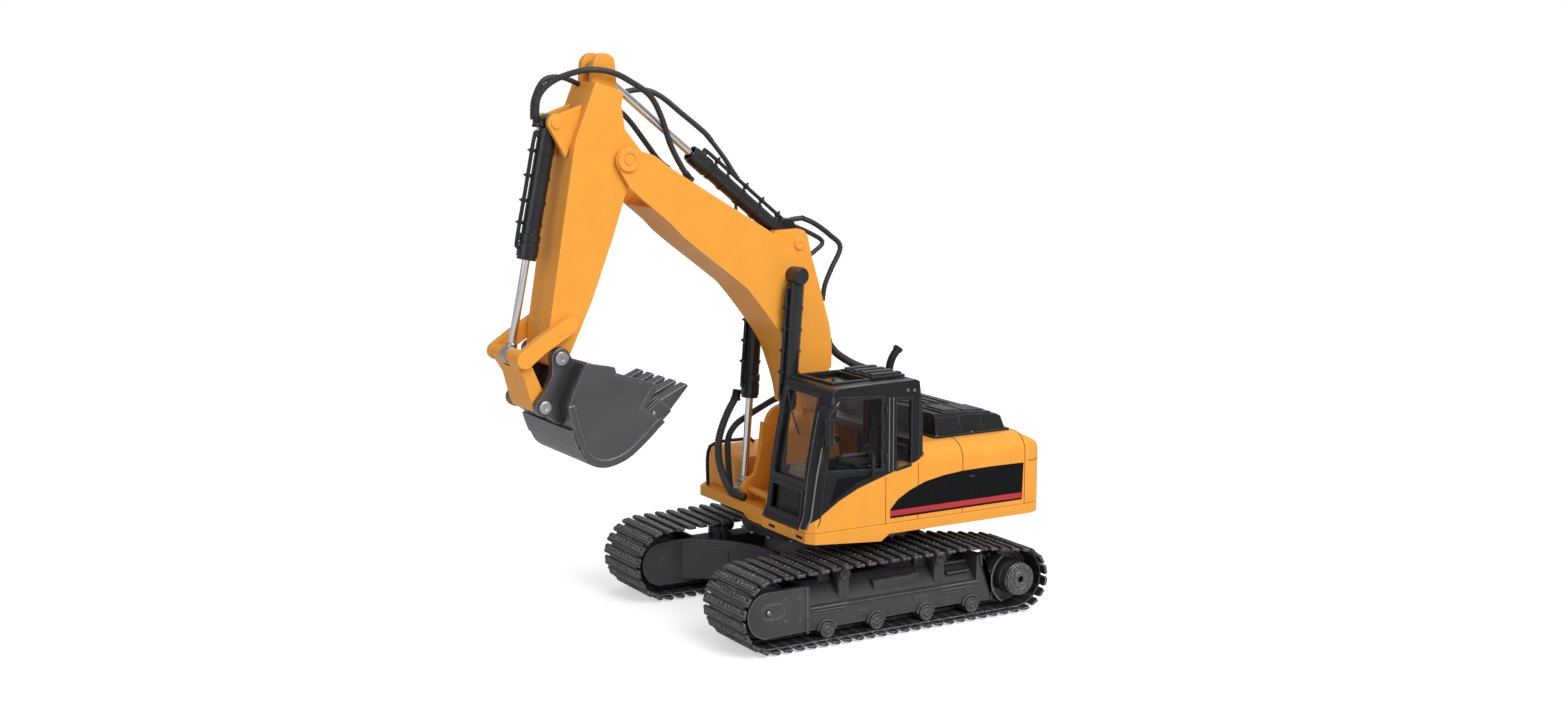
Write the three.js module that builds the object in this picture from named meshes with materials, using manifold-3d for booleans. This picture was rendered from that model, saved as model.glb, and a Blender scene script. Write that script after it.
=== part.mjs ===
// Toy crawler excavator, millimetres. X forward, Y left, Z up; Z = 0 is the ground under the tracks.
// Shapes are written with X = 0 at the middle of the wheelbase, and CENTRE_X moves them so that the
// whole object is centred on the origin in X. Bodies keep REST as the stored pose.
import * as THREE from "three";
import { mergeVertices } from "three/addons/utils/BufferGeometryUtils.js";
import Module from "manifold-3d";

const wasm = await Module();
wasm.setup();

// ---- driving dimensions -------------------------------------------------
const CENTRE_X = 44.15; // mid wheelbase lies this far behind the centre of the whole object
const GAP = 0.3; // between touching pieces
const RUN = 0.15; // radial clearance of a running pin
const WHEELBASE = 159.4;
const TRACK = { inner: 38.5, outer: 82.5, shoes: 60, plate: 1.8, rail: 4.2, railIn: 57, railOut: 64 };
const IDLER = { x: WHEELBASE / 2, z: 21, wrap: 21, r: 16.2 };
const SPROCKET = { x: -WHEELBASE / 2, z: 18.6, wrap: 18.6, r: 13.9, drum: 9.5, teeth: 13 };
const ROLLERS = [44, 12.6, -20, -50.6];
const ROLLER_Z = 6.7;
const CARRIERS = [30.5, -32];
const CARRIER_Z = 34.8;
const FRAME = { inner: 48, outer: 73, top: 31, ledge: 19.6, front: 55.7, rear: -57 };
const HOUSE = { left: 72, right: -70, rear: -88, tail: -104, bottom: 53.5, deck: 59.3, top: 100 };
const CAB = { right: 22, left: 72, wall: 3 };
const BOOM_Y = -4; // centre plane of the working arm
const CHEEK_SWEEP = 19.2; // radius round the foot pivot that the boom's outer plates leave to the bracket
const BOOM_HALF = 17;
const STICK_HALF = 14;
const FOOT = [10, 98]; // boom foot pivot, [x, z] like every pivot below
const STICK_PIVOT = [128.2, 256.2];
const BOOM_CYL_HEAD = [28.8, 190.3];
const BOOM_CYL_FOOT = [38.5, 65];
const BOOM_CYL_Y = 21.3;
const STICK_CYL_FOOT = [20.5, 206.3];
const STICK_CYL_ROD = [138, 303];
const BUCKET_CYL_FOOT = [165, 276];
const ROCKER_PIVOT = [164, 172.5];
const ROCKER_END = [189.7, 156.3];
const BUCKET_PIVOT = [169.7, 155.8];
const LINK_END = [179.5, 131];
const BUCKET = { right: -36, left: 28, shell: 2.4 };

// ---- solids -------------------------------------------------------------
function solid(geometry) {
  const g = new THREE.BufferGeometry();
  const flat = geometry.index ? geometry.toNonIndexed() : geometry;
  g.setAttribute("position", flat.getAttribute("position").clone());
  const m = mergeVertices(g, 1e-4);
  return new wasm.Manifold(
    new wasm.Mesh({
      numProp: 3,
      vertProperties: m.attributes.position.array,
      triVerts: new Uint32Array(m.index.array),
    }),
  );
}
const shapeOf = (pts, holes = []) => {
  const s = new THREE.Shape(pts.map(([a, b]) => new THREE.Vector2(a, b)));
  for (const h of holes) s.holes.push(new THREE.Path(h.map(([a, b]) => new THREE.Vector2(a, b))));
  return s;
};
const extruded = (pts, depth, holes) =>
  new THREE.ExtrudeGeometry(shapeOf(pts, holes), { depth, bevelEnabled: false });
// Plan outline [x, y] raised from z0 to z1.
const prismZ = (pts, z0, z1) => solid(extruded(pts, z1 - z0).translate(0, 0, z0));
// Side outline [x, z] stretched from y0 to y1.
const prismY = (pts, y0, y1, holes) =>
  solid(extruded(pts, y1 - y0, holes).rotateX(Math.PI / 2).translate(0, y1, 0));
// Front outline [y, z] stretched from x0 to x1.
const prismX = (pts, x0, x1) => {
  const turn = new THREE.Matrix4().set(0, 0, 1, x0, 1, 0, 0, 0, 0, 1, 0, 0, 0, 0, 0, 1);
  return solid(extruded(pts, x1 - x0).applyMatrix4(turn));
};
const box = (x0, x1, y0, y1, z0, z1) =>
  solid(
    new THREE.BoxGeometry(x1 - x0, y1 - y0, z1 - z0).translate((x0 + x1) / 2, (y0 + y1) / 2, (z0 + z1) / 2),
  );
const cylY = ([x, z], r, y0, y1, seg = 14) =>
  solid(new THREE.CylinderGeometry(r, r, y1 - y0, seg).translate(x, (y0 + y1) / 2, z));
const cylZ = (x, y, r, z0, z1, seg = 40) =>
  solid(
    new THREE.CylinderGeometry(r, r, z1 - z0, seg).rotateX(Math.PI / 2).translate(x, y, (z0 + z1) / 2),
  );
// A round bar in the plane y = const between two [x, z] points; s0 and s1 are distances from the first.
function bar(from, to, y, r, s0, s1, seg = 12) {
  const d = new THREE.Vector3(to[0] - from[0], 0, to[1] - from[1]).normalize();
  const turn = new THREE.Quaternion().setFromUnitVectors(new THREE.Vector3(0, 1, 0), d);
  const mid = new THREE.Vector3(from[0], y, from[1]).addScaledVector(d, (s0 + s1) / 2);
  return solid(
    new THREE.CylinderGeometry(r, r, s1 - s0, seg).applyQuaternion(turn).translate(mid.x, mid.y, mid.z),
  );
}
function hose(points, r, steps = 40) {
  const path = new THREE.CatmullRomCurve3(points.map((p) => new THREE.Vector3(...p)));
  const ring = Array.from({ length: 8 }, (_, i) => {
    const a = (i * Math.PI) / 4;
    return new THREE.Vector2(r * Math.cos(a), r * Math.sin(a));
  });
  const shape = new THREE.Shape(ring);
  return solid(new THREE.ExtrudeGeometry(shape, { steps, bevelEnabled: false, extrudePath: path }));
}
const join = (...s) => s.flat().reduce((a, b) => a.add(b));
const cut = (a, ...s) => s.flat().reduce((x, b) => x.subtract(b), a);
const arc = ([x, z], r, a0, a1, n = 8) =>
  Array.from({ length: n + 1 }, (_, i) => {
    const a = ((a0 + ((a1 - a0) * i) / n) * Math.PI) / 180;
    return [x + r * Math.cos(a), z + r * Math.sin(a)];
  });
const length = (a, b) => Math.hypot(b[0] - a[0], b[1] - a[1]);

// ---- materials ----------------------------------------------------------
const COLOURS = {
  yellow: [0xf0a03c, 0.35, 0], black: [0x26272a, 0.5, 0], track: [0x2c2d30, 0.55, 0],
  grey: [0x55565b, 0.4, 0.4], chrome: [0xd8d8da, 0.15, 1], hose: [0x1b1b1d, 0.6, 0],
  glass: [0x6a5f66, 0.1, 0], seat: [0x202124, 0.8, 0], steel: [0xa0a0a4, 0.3, 1],
};
const root = new THREE.Group();
function piece(name, s, colour) {
  const m = s.getMesh();
  const g = new THREE.BufferGeometry();
  g.setAttribute("position", new THREE.BufferAttribute(new Float32Array(m.vertProperties), 3));
  g.setIndex(new THREE.BufferAttribute(m.triVerts, 1));
  g.translate(-CENTRE_X, 0, 0);
  g.computeVertexNormals();
  const [color, roughness, metalness] = COLOURS[colour];
  const mesh = new THREE.Mesh(g, new THREE.MeshStandardMaterial({ color, roughness, metalness }));
  mesh.name = name;
  root.add(mesh);
}
const SIDES = [["left", 1], ["right", -1]];
// Mirrors a solid in the plane y = 0 for the right-hand copy.
const onSide = (s, side) => (side > 0 ? s : s.mirror([0, 1, 0]));

// ---- track belt ---------------------------------------------------------
// The outer line of the belt as [x, z] points: round the front idler, back along the top, round the sprocket.
function beltPath() {
  const top = [[IDLER.x, IDLER.z + IDLER.wrap + 0.4], [36, 43], [-45, 42.6], [-66, 39.6]];
  const pts = [];
  for (const [x, z] of arc([IDLER.x, IDLER.z], IDLER.wrap, -90, 88, 40)) pts.push([x, z]);
  for (const p of top.slice(1)) pts.push(p);
  for (const [x, z] of arc([SPROCKET.x, SPROCKET.z], SPROCKET.wrap, 96, 270, 40)) pts.push([x, z]);
  return pts;
}
function along(pts) {
  const run = [0];
  for (let i = 0; i < pts.length; i++) run.push(run[i] + length(pts[i], pts[(i + 1) % pts.length]));
  const total = run[pts.length];
  const at = (s) => {
    const t = ((s % total) + total) % total;
    let i = 0;
    while (run[i + 1] < t) i++;
    const a = pts[i], b = pts[(i + 1) % pts.length], f = (t - run[i]) / (run[i + 1] - run[i]);
    return [a[0] + f * (b[0] - a[0]), a[1] + f * (b[1] - a[1])];
  };
  // The point at s moved inwards by depth.
  return { total, inward: (s, depth) => {
    const p = at(s), a = at(s - 1.5), b = at(s + 1.5), l = length(a, b);
    return [p[0] - ((b[1] - a[1]) / l) * depth, p[1] + ((b[0] - a[0]) / l) * depth];
  } };
}
// A closed outline without the points that lie on a straight run.
const straightened = (pts) => pts.filter((p, i) => {
  const a = pts.at(i - 1), b = pts[(i + 1) % pts.length];
  return Math.abs((p[0] - a[0]) * (b[1] - p[1]) - (p[1] - a[1]) * (b[0] - p[0])) > 0.05;
});
function trackBelt() {
  const path = along(beltPath());
  const pitch = path.total / TRACK.shoes;
  const outer = [], under = [], seat = [], rail = [];
  for (let i = 0; i < TRACK.shoes; i++) {
    const s = i * pitch;
    for (const [f, d] of [[-0.42, 1.1], [-0.32, 0], [0.32, 0], [0.42, 1.1]])
      outer.push(path.inward(s + f * pitch, d));
    under.push(path.inward(s, TRACK.plate));
    seat.push(path.inward(s, 1.4));
    rail.push(path.inward(s, TRACK.rail));
  }
  return join(
    prismY(outer, TRACK.inner, TRACK.outer, [straightened(under)]),
    prismY(straightened(seat), TRACK.railIn, TRACK.railOut, [straightened(rail)]),
  );
}
const belt = trackBelt();

// ---- undercarriage ------------------------------------------------------
const halfRound = (r, front) => [
  ...arc([IDLER.x, 19.5], r, -90, 90, 16), [front, 19.5 + r], [front, 19.5 - r],
];
function trackFrame() {
  const { inner, outer, top, ledge, front, rear } = FRAME;
  const section = [[inner, 10], [outer, 10], [outer, ledge], [outer - 3, ledge + 0.8], [60, top],
    [inner, top]];
  const skirt = [[rear, 8.4], [front, 7.4], [front, 19], [rear, 19]];
  const bosses = ROLLERS.flatMap((x) =>
    [[inner, inner + 2.4], [outer - 2.4, outer]].map(([a, b]) => cylY([x, ROLLER_Z], 3.4, a, b, 12)),
  );
  const heads = CARRIERS.map((x) =>
    join(box(x - 3.2, x + 3.2, 65.2, 69.2, 20, CARRIER_Z), cylY([x, CARRIER_Z], 3.4, 65.2, 69.2, 12)),
  );
  const cheeks = [[inner, inner + 3], [outer - 3.2, outer]].map(([a, b]) =>
    prismY(halfRound(12.4, front - 1), a, b),
  );
  // The flange in front of the sprocket and the inner cheek that carries the final drive.
  const flange = prismY(
    [[-55, 7.4], [-55, 34], [-59, 34], [-60.5, 27.5], [-64.4, 24], [-64.4, 7.4]], inner, outer,
  );
  const cheek = join(
    box(-80, -60, inner, inner + 3, 9, 28), cylY([SPROCKET.x, SPROCKET.z], 10.5, inner, inner + 3, 20),
  );
  const shelf = box(-20, 10.5, 63, 66.5, 24, 27.6);
  const beam = join(prismX(section, rear, front), cheeks, flange, cheek, shelf, heads,
    prismY(skirt, inner, inner + 2.4), prismY(skirt, outer - 2.4, outer), bosses);
  const wheels = [
    cylY([IDLER.x, IDLER.z], IDLER.r + 0.8, inner + 3, outer - 3.2, 24),
    cylY([SPROCKET.x, SPROCKET.z], SPROCKET.r + 1, inner + 3, outer + 1, 24),
    ...ROLLERS.map((x) => cylY([x, ROLLER_Z], 5.2, inner + 2.4, outer - 2.4, 12)),
  ];
  const bores = [
    cylY([IDLER.x, IDLER.z], 1.5 + RUN, inner - 1, outer + 1),
    cylY([SPROCKET.x, SPROCKET.z], 3 + RUN, inner - 1, inner + 4),
    ...ROLLERS.map((x) => cylY([x, ROLLER_Z], 1.45 + RUN, inner - 1, outer + 1, 10)),
    ...CARRIERS.map((x) => cylY([x, CARRIER_Z], 1.45 + RUN, 64, 71, 10)),
  ];
  return cut(beam, wheels, bores);
}
const frame = trackFrame();
const centreX = cut(
  join(
    prismZ([[-46, -46], [-40, -47.7], [40, -47.7], [46, -46], [46, 46], [40, 47.7], [-40, 47.7],
      [-46, 46]], 10, 26),
    cylZ(0, 0, 34, 25, 40.7),
  ),
  cylZ(74, 0, 40, 5, 27, 48), cylZ(-74, 0, 40, 5, 27, 48), cylZ(0, 0, 12 + RUN, 9, 42),
);
piece("center_frame", centreX, "track");
piece("slew_ring", cut(join(cylZ(0, 0, 37.4, 41, 45), cylZ(0, 0, 47, 44.4, 49.7)),
  cylZ(0, 0, 12 + RUN, 40, 51)), "black");

const idler = join(
  cylY([IDLER.x, IDLER.z], IDLER.r - 3, 52.5, 68.5, 24), cylY([IDLER.x, IDLER.z], IDLER.r, 56.5, 64.5, 32),
  cylY([IDLER.x, IDLER.z], 1.5, 48, 73),
);
const gear = [];
for (let i = 0; i < SPROCKET.teeth; i++)
  for (const [f, r] of [[-0.36, 11.4], [-0.16, SPROCKET.r], [0.16, SPROCKET.r], [0.36, 11.4]]) {
    const a = ((i + f) * 2 * Math.PI) / SPROCKET.teeth;
    gear.push([SPROCKET.x + r * Math.cos(a), SPROCKET.z + r * Math.sin(a)]);
  }
const sprocket = cut(
  join(
    prismY(gear, 58, 63), cylY([SPROCKET.x, SPROCKET.z], SPROCKET.drum, 52, 79.6, 24),
    cylY([SPROCKET.x, SPROCKET.z], SPROCKET.drum - 0.8, 79, 81.4, 24),
    cylY([SPROCKET.x, SPROCKET.z], 3, 48, 53),
  ),
  cylY([SPROCKET.x, SPROCKET.z], 1.9, 74, 82),
);
const roller = (x) =>
  join(
    cylY([x, ROLLER_Z], 1.4, 48, 75, 10), cylY([x, ROLLER_Z], 2.3, 51, 70, 10),
    cylY([x, ROLLER_Z], 4.3, 53, 56.4, 12), cylY([x, ROLLER_Z], 4.3, 64.6, 68, 12),
    cylY([x, ROLLER_Z], 4.5, 73.3, 75.6, 12),
  );
const carrier = (x) =>
  join(
    cylY([x, CARRIER_Z], 1.4, 56, 70, 10), cylY([x, CARRIER_Z], 3.4, 56.6, 64.4, 12),
    cylY([x, CARRIER_Z], 3.4, 69.5, 71.4, 12),
  );
for (const [side, sign] of SIDES) {
  piece(`track_frame_${side}`, onSide(frame, sign), "track");
  piece(`track_belt_${side}`, onSide(belt, sign), "track");
  piece(`idler_${side}`, onSide(idler, sign), "track");
  piece(`sprocket_${side}`, onSide(sprocket, sign), "track");
  ROLLERS.forEach((x, i) => piece(`bottom_roller_${side}_${i + 1}`, onSide(roller(x), sign), "track"));
  CARRIERS.forEach((x, i) => piece(`carrier_roller_${side}_${i + 1}`, onSide(carrier(x), sign), "track"));
}

// ---- house --------------------------------------------------------------
const { left: HL, right: HR } = HOUSE;
const plan = [
  [54, 22], [54, HL - 4], [50, HL], [HOUSE.rear, HL],
  ...arc([HOUSE.rear - 2, HL - 14], 14, 90, 180, 6), [HOUSE.tail - 2, 0],
  ...arc([HOUSE.rear - 2, HR + 14], 14, 180, 270, 6), [40, HR], [46, HR + 6], [46, 22],
];
const bulk = prismZ(plan, 40, 140);
const hull = prismY([[60, 54.4], [54, 53.6], [8.2, 50], [3, HOUSE.bottom], [-110, HOUSE.bottom],
  [-110, HOUSE.deck], [60, HOUSE.deck]], -80, 80);
const KING_R = 12;
piece("deck", join(cut(bulk.intersect(hull), box(-110, 60, -80, 40, 40, 53.2)),
  cylZ(0, 0, 46, 50, 55), cylZ(0, 0, KING_R, 30, 51)), "yellow");

// Height of the bodywork's upper edge beside the cab, front to back.
const sweep = [[54, 61.2], [52.5, 64.3], [46.2, 68.4], [35, 75.4], [23, 80.9], [5.9, 86], [-13.9, 91.5],
  [-19.8, 94.4]];
// Rear bodywork: a wall with a rounded top edge, on the left for s = 1 and on the right for s = -1.
function sideWall(s) {
  const y = s > 0 ? HL : HR;
  const out = [[y, 59.6], ...arc([0, 0], 11, 0, 90, 6).map(([a, b]) => [y - s * (11 - a), 89 + b]),
    [s * 44, 100]];
  const inn = [[s * 44, 97], ...arc([0, 0], 8, 90, 0, 6).map(([a, b]) => [y - s * (11 - a), 89 + b]),
    [y - s * 3, 59.6]];
  return prismX(s > 0 ? [...out, ...inn] : [...out, ...inn].reverse(), HOUSE.rear + 0.3, -20.4);
}
piece("left_side_panel", join(
  sideWall(1), prismY([[54, 59.6], ...sweep, [-20.4, 94.4], [-20.4, 59.6]], 61.6, HL).intersect(bulk),
  box(-24, -20.3, 62, HL - 0.5, 59.6, 90)), "yellow");
// Right-hand bodywork with the lower front box beside the boom.
const frontBox = prismY([[38, 59.6], [36.5, 79], [34, 80.6], [-20.5, 82], [-20.5, 59.6]], HR,
  -30).intersect(bulk);
piece("right_side_panel", join(sideWall(-1), cut(frontBox, box(-21, 35, HR + 3, -32.5, 50, 78)),
  box(-24, -20.3, HR + 0.5, HR + 12, 59.6, 82)), "yellow");
// Tail: rounded in plan and in profile.
const tail = prismY([[HOUSE.rear, 54], [-110, 54], [-110, 100], [HOUSE.rear, 100]], -80, 80);
const tailProfile = [[HOUSE.rear, 59.6], [-107, 59.6], [-107, 76], [-105.4, 83], [-101, 90], [-95, 95.6],
  [HOUSE.rear, 99.4]];
const tailFront = prismX([
  [HL, 59.6], ...arc([HL - 11, 88.4], 11, 0, 90, 6), ...arc([HR + 11, 88.4], 11, 90, 180, 6), [HR, 59.6],
], -110, HOUSE.rear);
piece("counterweight", tail.intersect(bulk).intersect(prismY(tailProfile, -80, 80)).intersect(tailFront),
  "yellow");
// Engine hood: raised black lid with sloping sides.
const hoodSide = [[-84, 100.3], [-82, 108], [-79, 109.6], [-42, 112.4], [-38, 112.6], [-36.4, 100.3]];
const hoodFront = [[-43, 100.3], [-40, 110.5], [-37, 113], [52, 113], [55.5, 110.5], [58.5, 100.3]];
piece("engine_hood", join(prismY(hoodSide, -43, 58.5).intersect(prismX(hoodFront, -84, -36)),
  box(-83, -21, -43.7, 43.7, 97.2, 100.6)), "black");
piece("exhaust", hose([[-52, -12, 112.9], [-52, -12, 120], [-52, -12, 128], [-54, -12, 134],
  [-58, -12, 139]], 2.4, 12), "black");

// ---- cab ----------------------------------------------------------------
const cabSide = [[54, 60], [51, 66.2], [47.8, 91.4], [44, 111.6], [40.1, 129.6], [38.8, 134.4],
  [35.4, 136.2],
  [11.3, 136.8], [-13.6, 137], [-16, 136], [-19.4, 119.2], [-19.8, 60]];
const inset = (t) => [[54 - t, 60 + t], [51 - t, 66.2], [47.8 - t, 91.4], [44 - t, 111.6],
  [40.1 - t, 129.6],
  [38.4 - t, 134 - t], [-14 + t, 134.2 - t], [-19.4 + t, 119.2], [-19.8 + t, 60 + t]];
const lower = sweep.map(([x, z]) => [x, z + GAP]);
const underCab = prismY([[60, 50], [60, 61.5], ...lower, [-25, 95.5], [-25, 50]], 61.3, 80);
const cabPlan = prismZ([[60, CAB.right], [60, 66], [46, CAB.left - 0.2], [-16, CAB.left - 0.2], [-20, 70],
  [-20, 24], [-18, CAB.right]], 50, 140);
const shellOf = (t) => prismY(inset(t), CAB.right + t, CAB.left - t);
// Windows as [x, z] side outlines and [y, z] front outlines.
const door = [[43.5, 100], [42.6, 92.3], [8, 89.9], [8, 128.9], [35.4, 130.1], [38.3, 127.5]];
const quarter = [[-1.2, 88.6], [-11, 90.6], [-11, 126.6], [-1.2, 127]];
const front = [[26, 84], [59, 84], [59, 130.6], [26, 130.6]];
const foot = [[26, 65], [58, 65], [58, 79.6], [26, 79.6]];
const rearWindow = [[30, 102], [64, 102], [64, 129], [30, 129]];
const rightWindow = [[42, 86], [-12, 88], [-12, 128], [34, 129]];
const skylight = [[10, 28], [32, 28], [32, 60], [10, 60]];
piece("cab_frame", cut(
  cut(prismY(cabSide, CAB.right, CAB.left).intersect(cabPlan), underCab),
  shellOf(CAB.wall).intersect(cut(box(-40, 60, 0, 90, 62.6, 140),
    cut(underCab.translate([0, -2.6, 2.6]), box(-60, 60, 0, 58.6, 0, 200)))),
  prismY(door, 60, 80), prismY(quarter, 60, 80), prismY(rightWindow, 15, 30),
  prismX(front, 30, 60), prismX(foot, 40, 60), prismX(rearWindow, -30, -10), prismZ(skylight, 120, 145),
), "black");
const glassOut = shellOf(CAB.wall + GAP).intersect(box(-40, 60, 0, 90, 97, 140));
const glassIn = shellOf(CAB.wall + GAP + 1.1).intersect(box(-40, 60, 0, 90, 90, 140));
piece("cab_glass", cut(glassOut, glassIn), "glass");
piece("roof_hatch", join(box(-13, 8, 30, 62, 137.3, 138.6),
  [0, 1, 2, 3].map((i) => box(-12, 7, 32 + 8 * i, 36 + 8 * i, 138.4, 139.8))), "black");
piece("seat", join(
  box(-9, 13, 36, 56, 80, 86), prismY([[-9, 84], [-3, 84], [-8, 110], [-12, 110]], 37, 55),
  prismY([[-10.6, 109], [-7.6, 109], [-8.6, 118], [-11.6, 118]], 41, 51), box(-4, 8, 41, 51, 63.3, 81)),
    "seat");
piece("mirror", join(hose([[39.6, 74.2, 126], [42.6, 75.6, 124.4], [44, 76, 121]], 0.8, 8),
  prismX([[73.4, 107], [78.4, 107], [78.4, 121.6], [73.4, 121.6]], 42.6, 45)), "black");
piece("handrail", join(
  hose([[43, -60, 59.6], [43, -60, 78], [41.4, -60, 82.6], [36, -60, 84.4], [20, -60, 84.6],
    [14, -60, 84.6], [12, -60, 82.2]], 1.1, 14)), "black");
piece("battery_pack", box(-82, -40, -30, 34, 62, 92), "black");

// ---- boom bracket and pins ---------------------------------------------
const arm = (y0, y1) => [BOOM_Y + y0, BOOM_Y + y1]; // two distances from the arm's centre plane
const cheekOutline = [[-14, 59.6], [44, 59.6], [44, 66], [41, 70], [35.5, 73], [32, 85], [30, 103],
  ...arc([16, 100], 12, 10, 100, 6), ...arc(FOOT, 11, 130, 180, 4), [-8, 75]];
const cheeks = [-17, 13.4].map((y) => prismY(cheekOutline, ...arm(y, y + 3.6)));
piece("boom_bracket", join(
  cut(join(cheeks, prismY([[-14, 59.6], [34, 59.6], [34, 63], [-12, 64]], ...arm(-14, 14))),
    cylY(FOOT, 3 + RUN, ...arm(-30, 30))),
  cylY(BOOM_CYL_FOOT, 2, ...arm(-25.2, 25.2))), "yellow");
piece("boom_foot_pin", cylY(FOOT, 3, ...arm(-17.2, 17.2)), "steel");

// ---- boom ---------------------------------------------------------------
const boomOutline = [
  ...arc(STICK_PIVOT, 6.8, 130, -40, 8), [127.6, 241.7], [114.3, 230.5], [103.8, 221.9], [93.2, 211.9],
  [77.9, 200.2], [62.2, 188.2], [54.3, 180.7], [46.3, 170.4], [39.8, 162.6], [35, 155], [30.7, 148.9],
  [27.4, 140], [23.1, 128.2], [21, 118], [19.6, 108], ...arc(FOOT, 9.2, 20, -200, 14),
  [1.8, 112], [3.4, 122], [4.9, 137.6], [4.5, 153.5], [6.7, 165.8], [8.6, 172], [17, 186.8], [25.2, 198.6],
  [31.7, 207.3], [39.8, 213.3], [49.4, 218.7], [65.2, 227.7], [77.7, 235.7], [93, 244.4], [103.6, 251.5],
  [112.5, 257.8], [119.9, 260.4],
];
const boomCore = [
  [124, 245], [114.6, 233], [103.2, 224], [92.2, 213.9], [76.8, 202.1], [61, 190.1], [52.6, 182.2],
  [44.4, 171.8], [37.9, 163.9], [32.8, 155.8], [28.6, 149.6], [25.2, 140.6], [21, 128.6], [18, 112],
  [5, 112], [6.8, 137.6], [6.6, 153.2], [8.6, 165.2], [10.4, 171.4], [18.6, 185.8], [26.6, 197.2],
    [32.6, 205.4],
  [40.8, 211.4], [50.4, 216.8], [66.2, 225.8], [78.6, 233.7], [94, 242.5], [104.6, 249.6], [113, 255.6],
    [120, 256],
];
const spine = [[37.9, 210.8], [36, 214.2], [21.6, 214], [15, 211.7], [12.5, 198.7], [9.6, 189.4],
  [6.6, 176.9],
  [3.2, 168], [0.7, 159], [-0.7, 147.6], [-0.5, 135.3], [8, 132], [12, 165], [28, 196]];
piece("boom", cut(
  join(
    prismY(boomOutline, ...arm(-BOOM_HALF, -BOOM_HALF + 2.4)),
      prismY(boomOutline, ...arm(BOOM_HALF - 2.4, BOOM_HALF)),
    prismY(boomCore, ...arm(-BOOM_HALF + 1, BOOM_HALF - 1)), prismY(spine, ...arm(-10.5, 10.5)),
    cylY(FOOT, 9.2, ...arm(-13, 13), 32), prismY([[19.6, 104], [20.4, 113], [2.6, 116], [0.8, 104]],
      ...arm(-13, 13)),
    cylY(STICK_PIVOT, 6.2, ...arm(-18.2, -14.8), 32), cylY(STICK_PIVOT, 6.2, ...arm(14.8, 18.2), 32),
    cylY(STICK_CYL_FOOT, 2.2, ...arm(-9, 9)),
  ),
  // room for the stick between the tip ears, for the bracket cheeks and for the stick cylinder's eye
  cylY(STICK_PIVOT, 27, ...arm(-14.6, 14.6), 40),
  cylY(FOOT, CHEEK_SWEEP, ...arm(13, 20), 40), cylY(FOOT, CHEEK_SWEEP, ...arm(-20, -13), 40),
  cut(cylY(STICK_CYL_FOOT, 9, ...arm(-5.4, 5.4), 32), cylY(STICK_CYL_FOOT, 2.2, ...arm(-9, 9))),
  prismY([[20, 196], [48, 211], [74, 236], [60, 250], [10, 214]],
    ...arm(-5.4, 5.4)).subtract(cylY(STICK_CYL_FOOT, 2.2, ...arm(-9, 9))),
  cylY(FOOT, 3 + GAP, ...arm(-20, 20)), cylY(BOOM_CYL_HEAD, 2.4 + GAP, ...arm(-20, 20)),
  cylY(STICK_PIVOT, 2.6 + GAP, ...arm(-20, 20)),
), "yellow");
piece("boom_cylinder_pin", cylY(BOOM_CYL_HEAD, 2.4, ...arm(-25.4, 25.4)), "steel");
piece("stick_pin", cylY(STICK_PIVOT, 2.6, ...arm(-18.4, 18.4)), "steel");

// ---- cylinders ----------------------------------------------------------
const ROD_R = 2.1;
// Barrel from its eye towards the rod's eye: tube open at the gland, side pipe beside it.
function barrel(from, to, y, reach, r, bore, eye, half, pin, pipe) {
  const body = join(bar(from, to, y, r, 3, reach), bar(from, to, y, r + 0.6, reach - 13, reach - 1),
    cylY(from, eye, y - half, y + half));
  const u = [(to[0] - from[0]) / length(from, to), (to[1] - from[1]) / length(from, to)];
  const port = (s) => {
    const at = [from[0] + u[0] * s, from[1] + u[1] * s];
    const off = [at[0] + pipe[0], at[1] + pipe[1]];
    return bar(at, off, y, 1.2, r - 1, length(at, off), 10);
  };
  const shifted = (p) => [p[0] + pipe[0], p[1] + pipe[1]];
  const line = bar(shifted(from), shifted(to), y, 0.9, 7, reach - 5, 10);
  return cut(join(body, port(8), port(reach - 6), line), bar(from, to, y, bore, 9, reach + 1),
    cylY(from, pin, y - 20, y + 20));
}
const rod = (eyeAt, to, y, long, r, eye, half, pin) =>
  cut(join(cylY(eyeAt, eye, y - half, y + half), bar(eyeAt, to, y, r, 2, long)),
    cylY(eyeAt, pin, y - 20, y + 20));
for (const [side, sign] of SIDES) {
  const y = BOOM_Y + sign * BOOM_CYL_Y;
  piece(`boom_cylinder_barrel_${side}`,
    barrel(BOOM_CYL_HEAD, BOOM_CYL_FOOT, y, 74, 4, 3.5, 4.6, 3.8, 2.4 + RUN, [5.6, 0.6]), "black");
  piece(`boom_cylinder_rod_${side}`,
    rod(BOOM_CYL_FOOT, BOOM_CYL_HEAD, y, 100, ROD_R, 4.2, 3.6, 2 + RUN), "chrome");
}
piece("stick_cylinder_barrel",
  barrel(STICK_CYL_FOOT, STICK_CYL_ROD, BOOM_Y, 81, 4.4, 3.8, 4.6, 4.8, 2.2 + RUN, [-4.4, 5.4]), "black");
piece("stick_cylinder_rod", rod(STICK_CYL_ROD, STICK_CYL_FOOT, BOOM_Y, 124, ROD_R, 4.4, 3.8, 2 + RUN),
  "chrome");
piece("bucket_cylinder_barrel",
  barrel(BUCKET_CYL_FOOT, ROCKER_END, BOOM_Y, 72, 4.4, 3.8, 4.4, 4.6, 2 + RUN, [6.8, 1.4]), "black");
piece("bucket_cylinder_rod", rod(ROCKER_END, BUCKET_CYL_FOOT, BOOM_Y, 88, ROD_R, 4.6, 3.6, 2.2 + RUN),
  "chrome");

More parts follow.
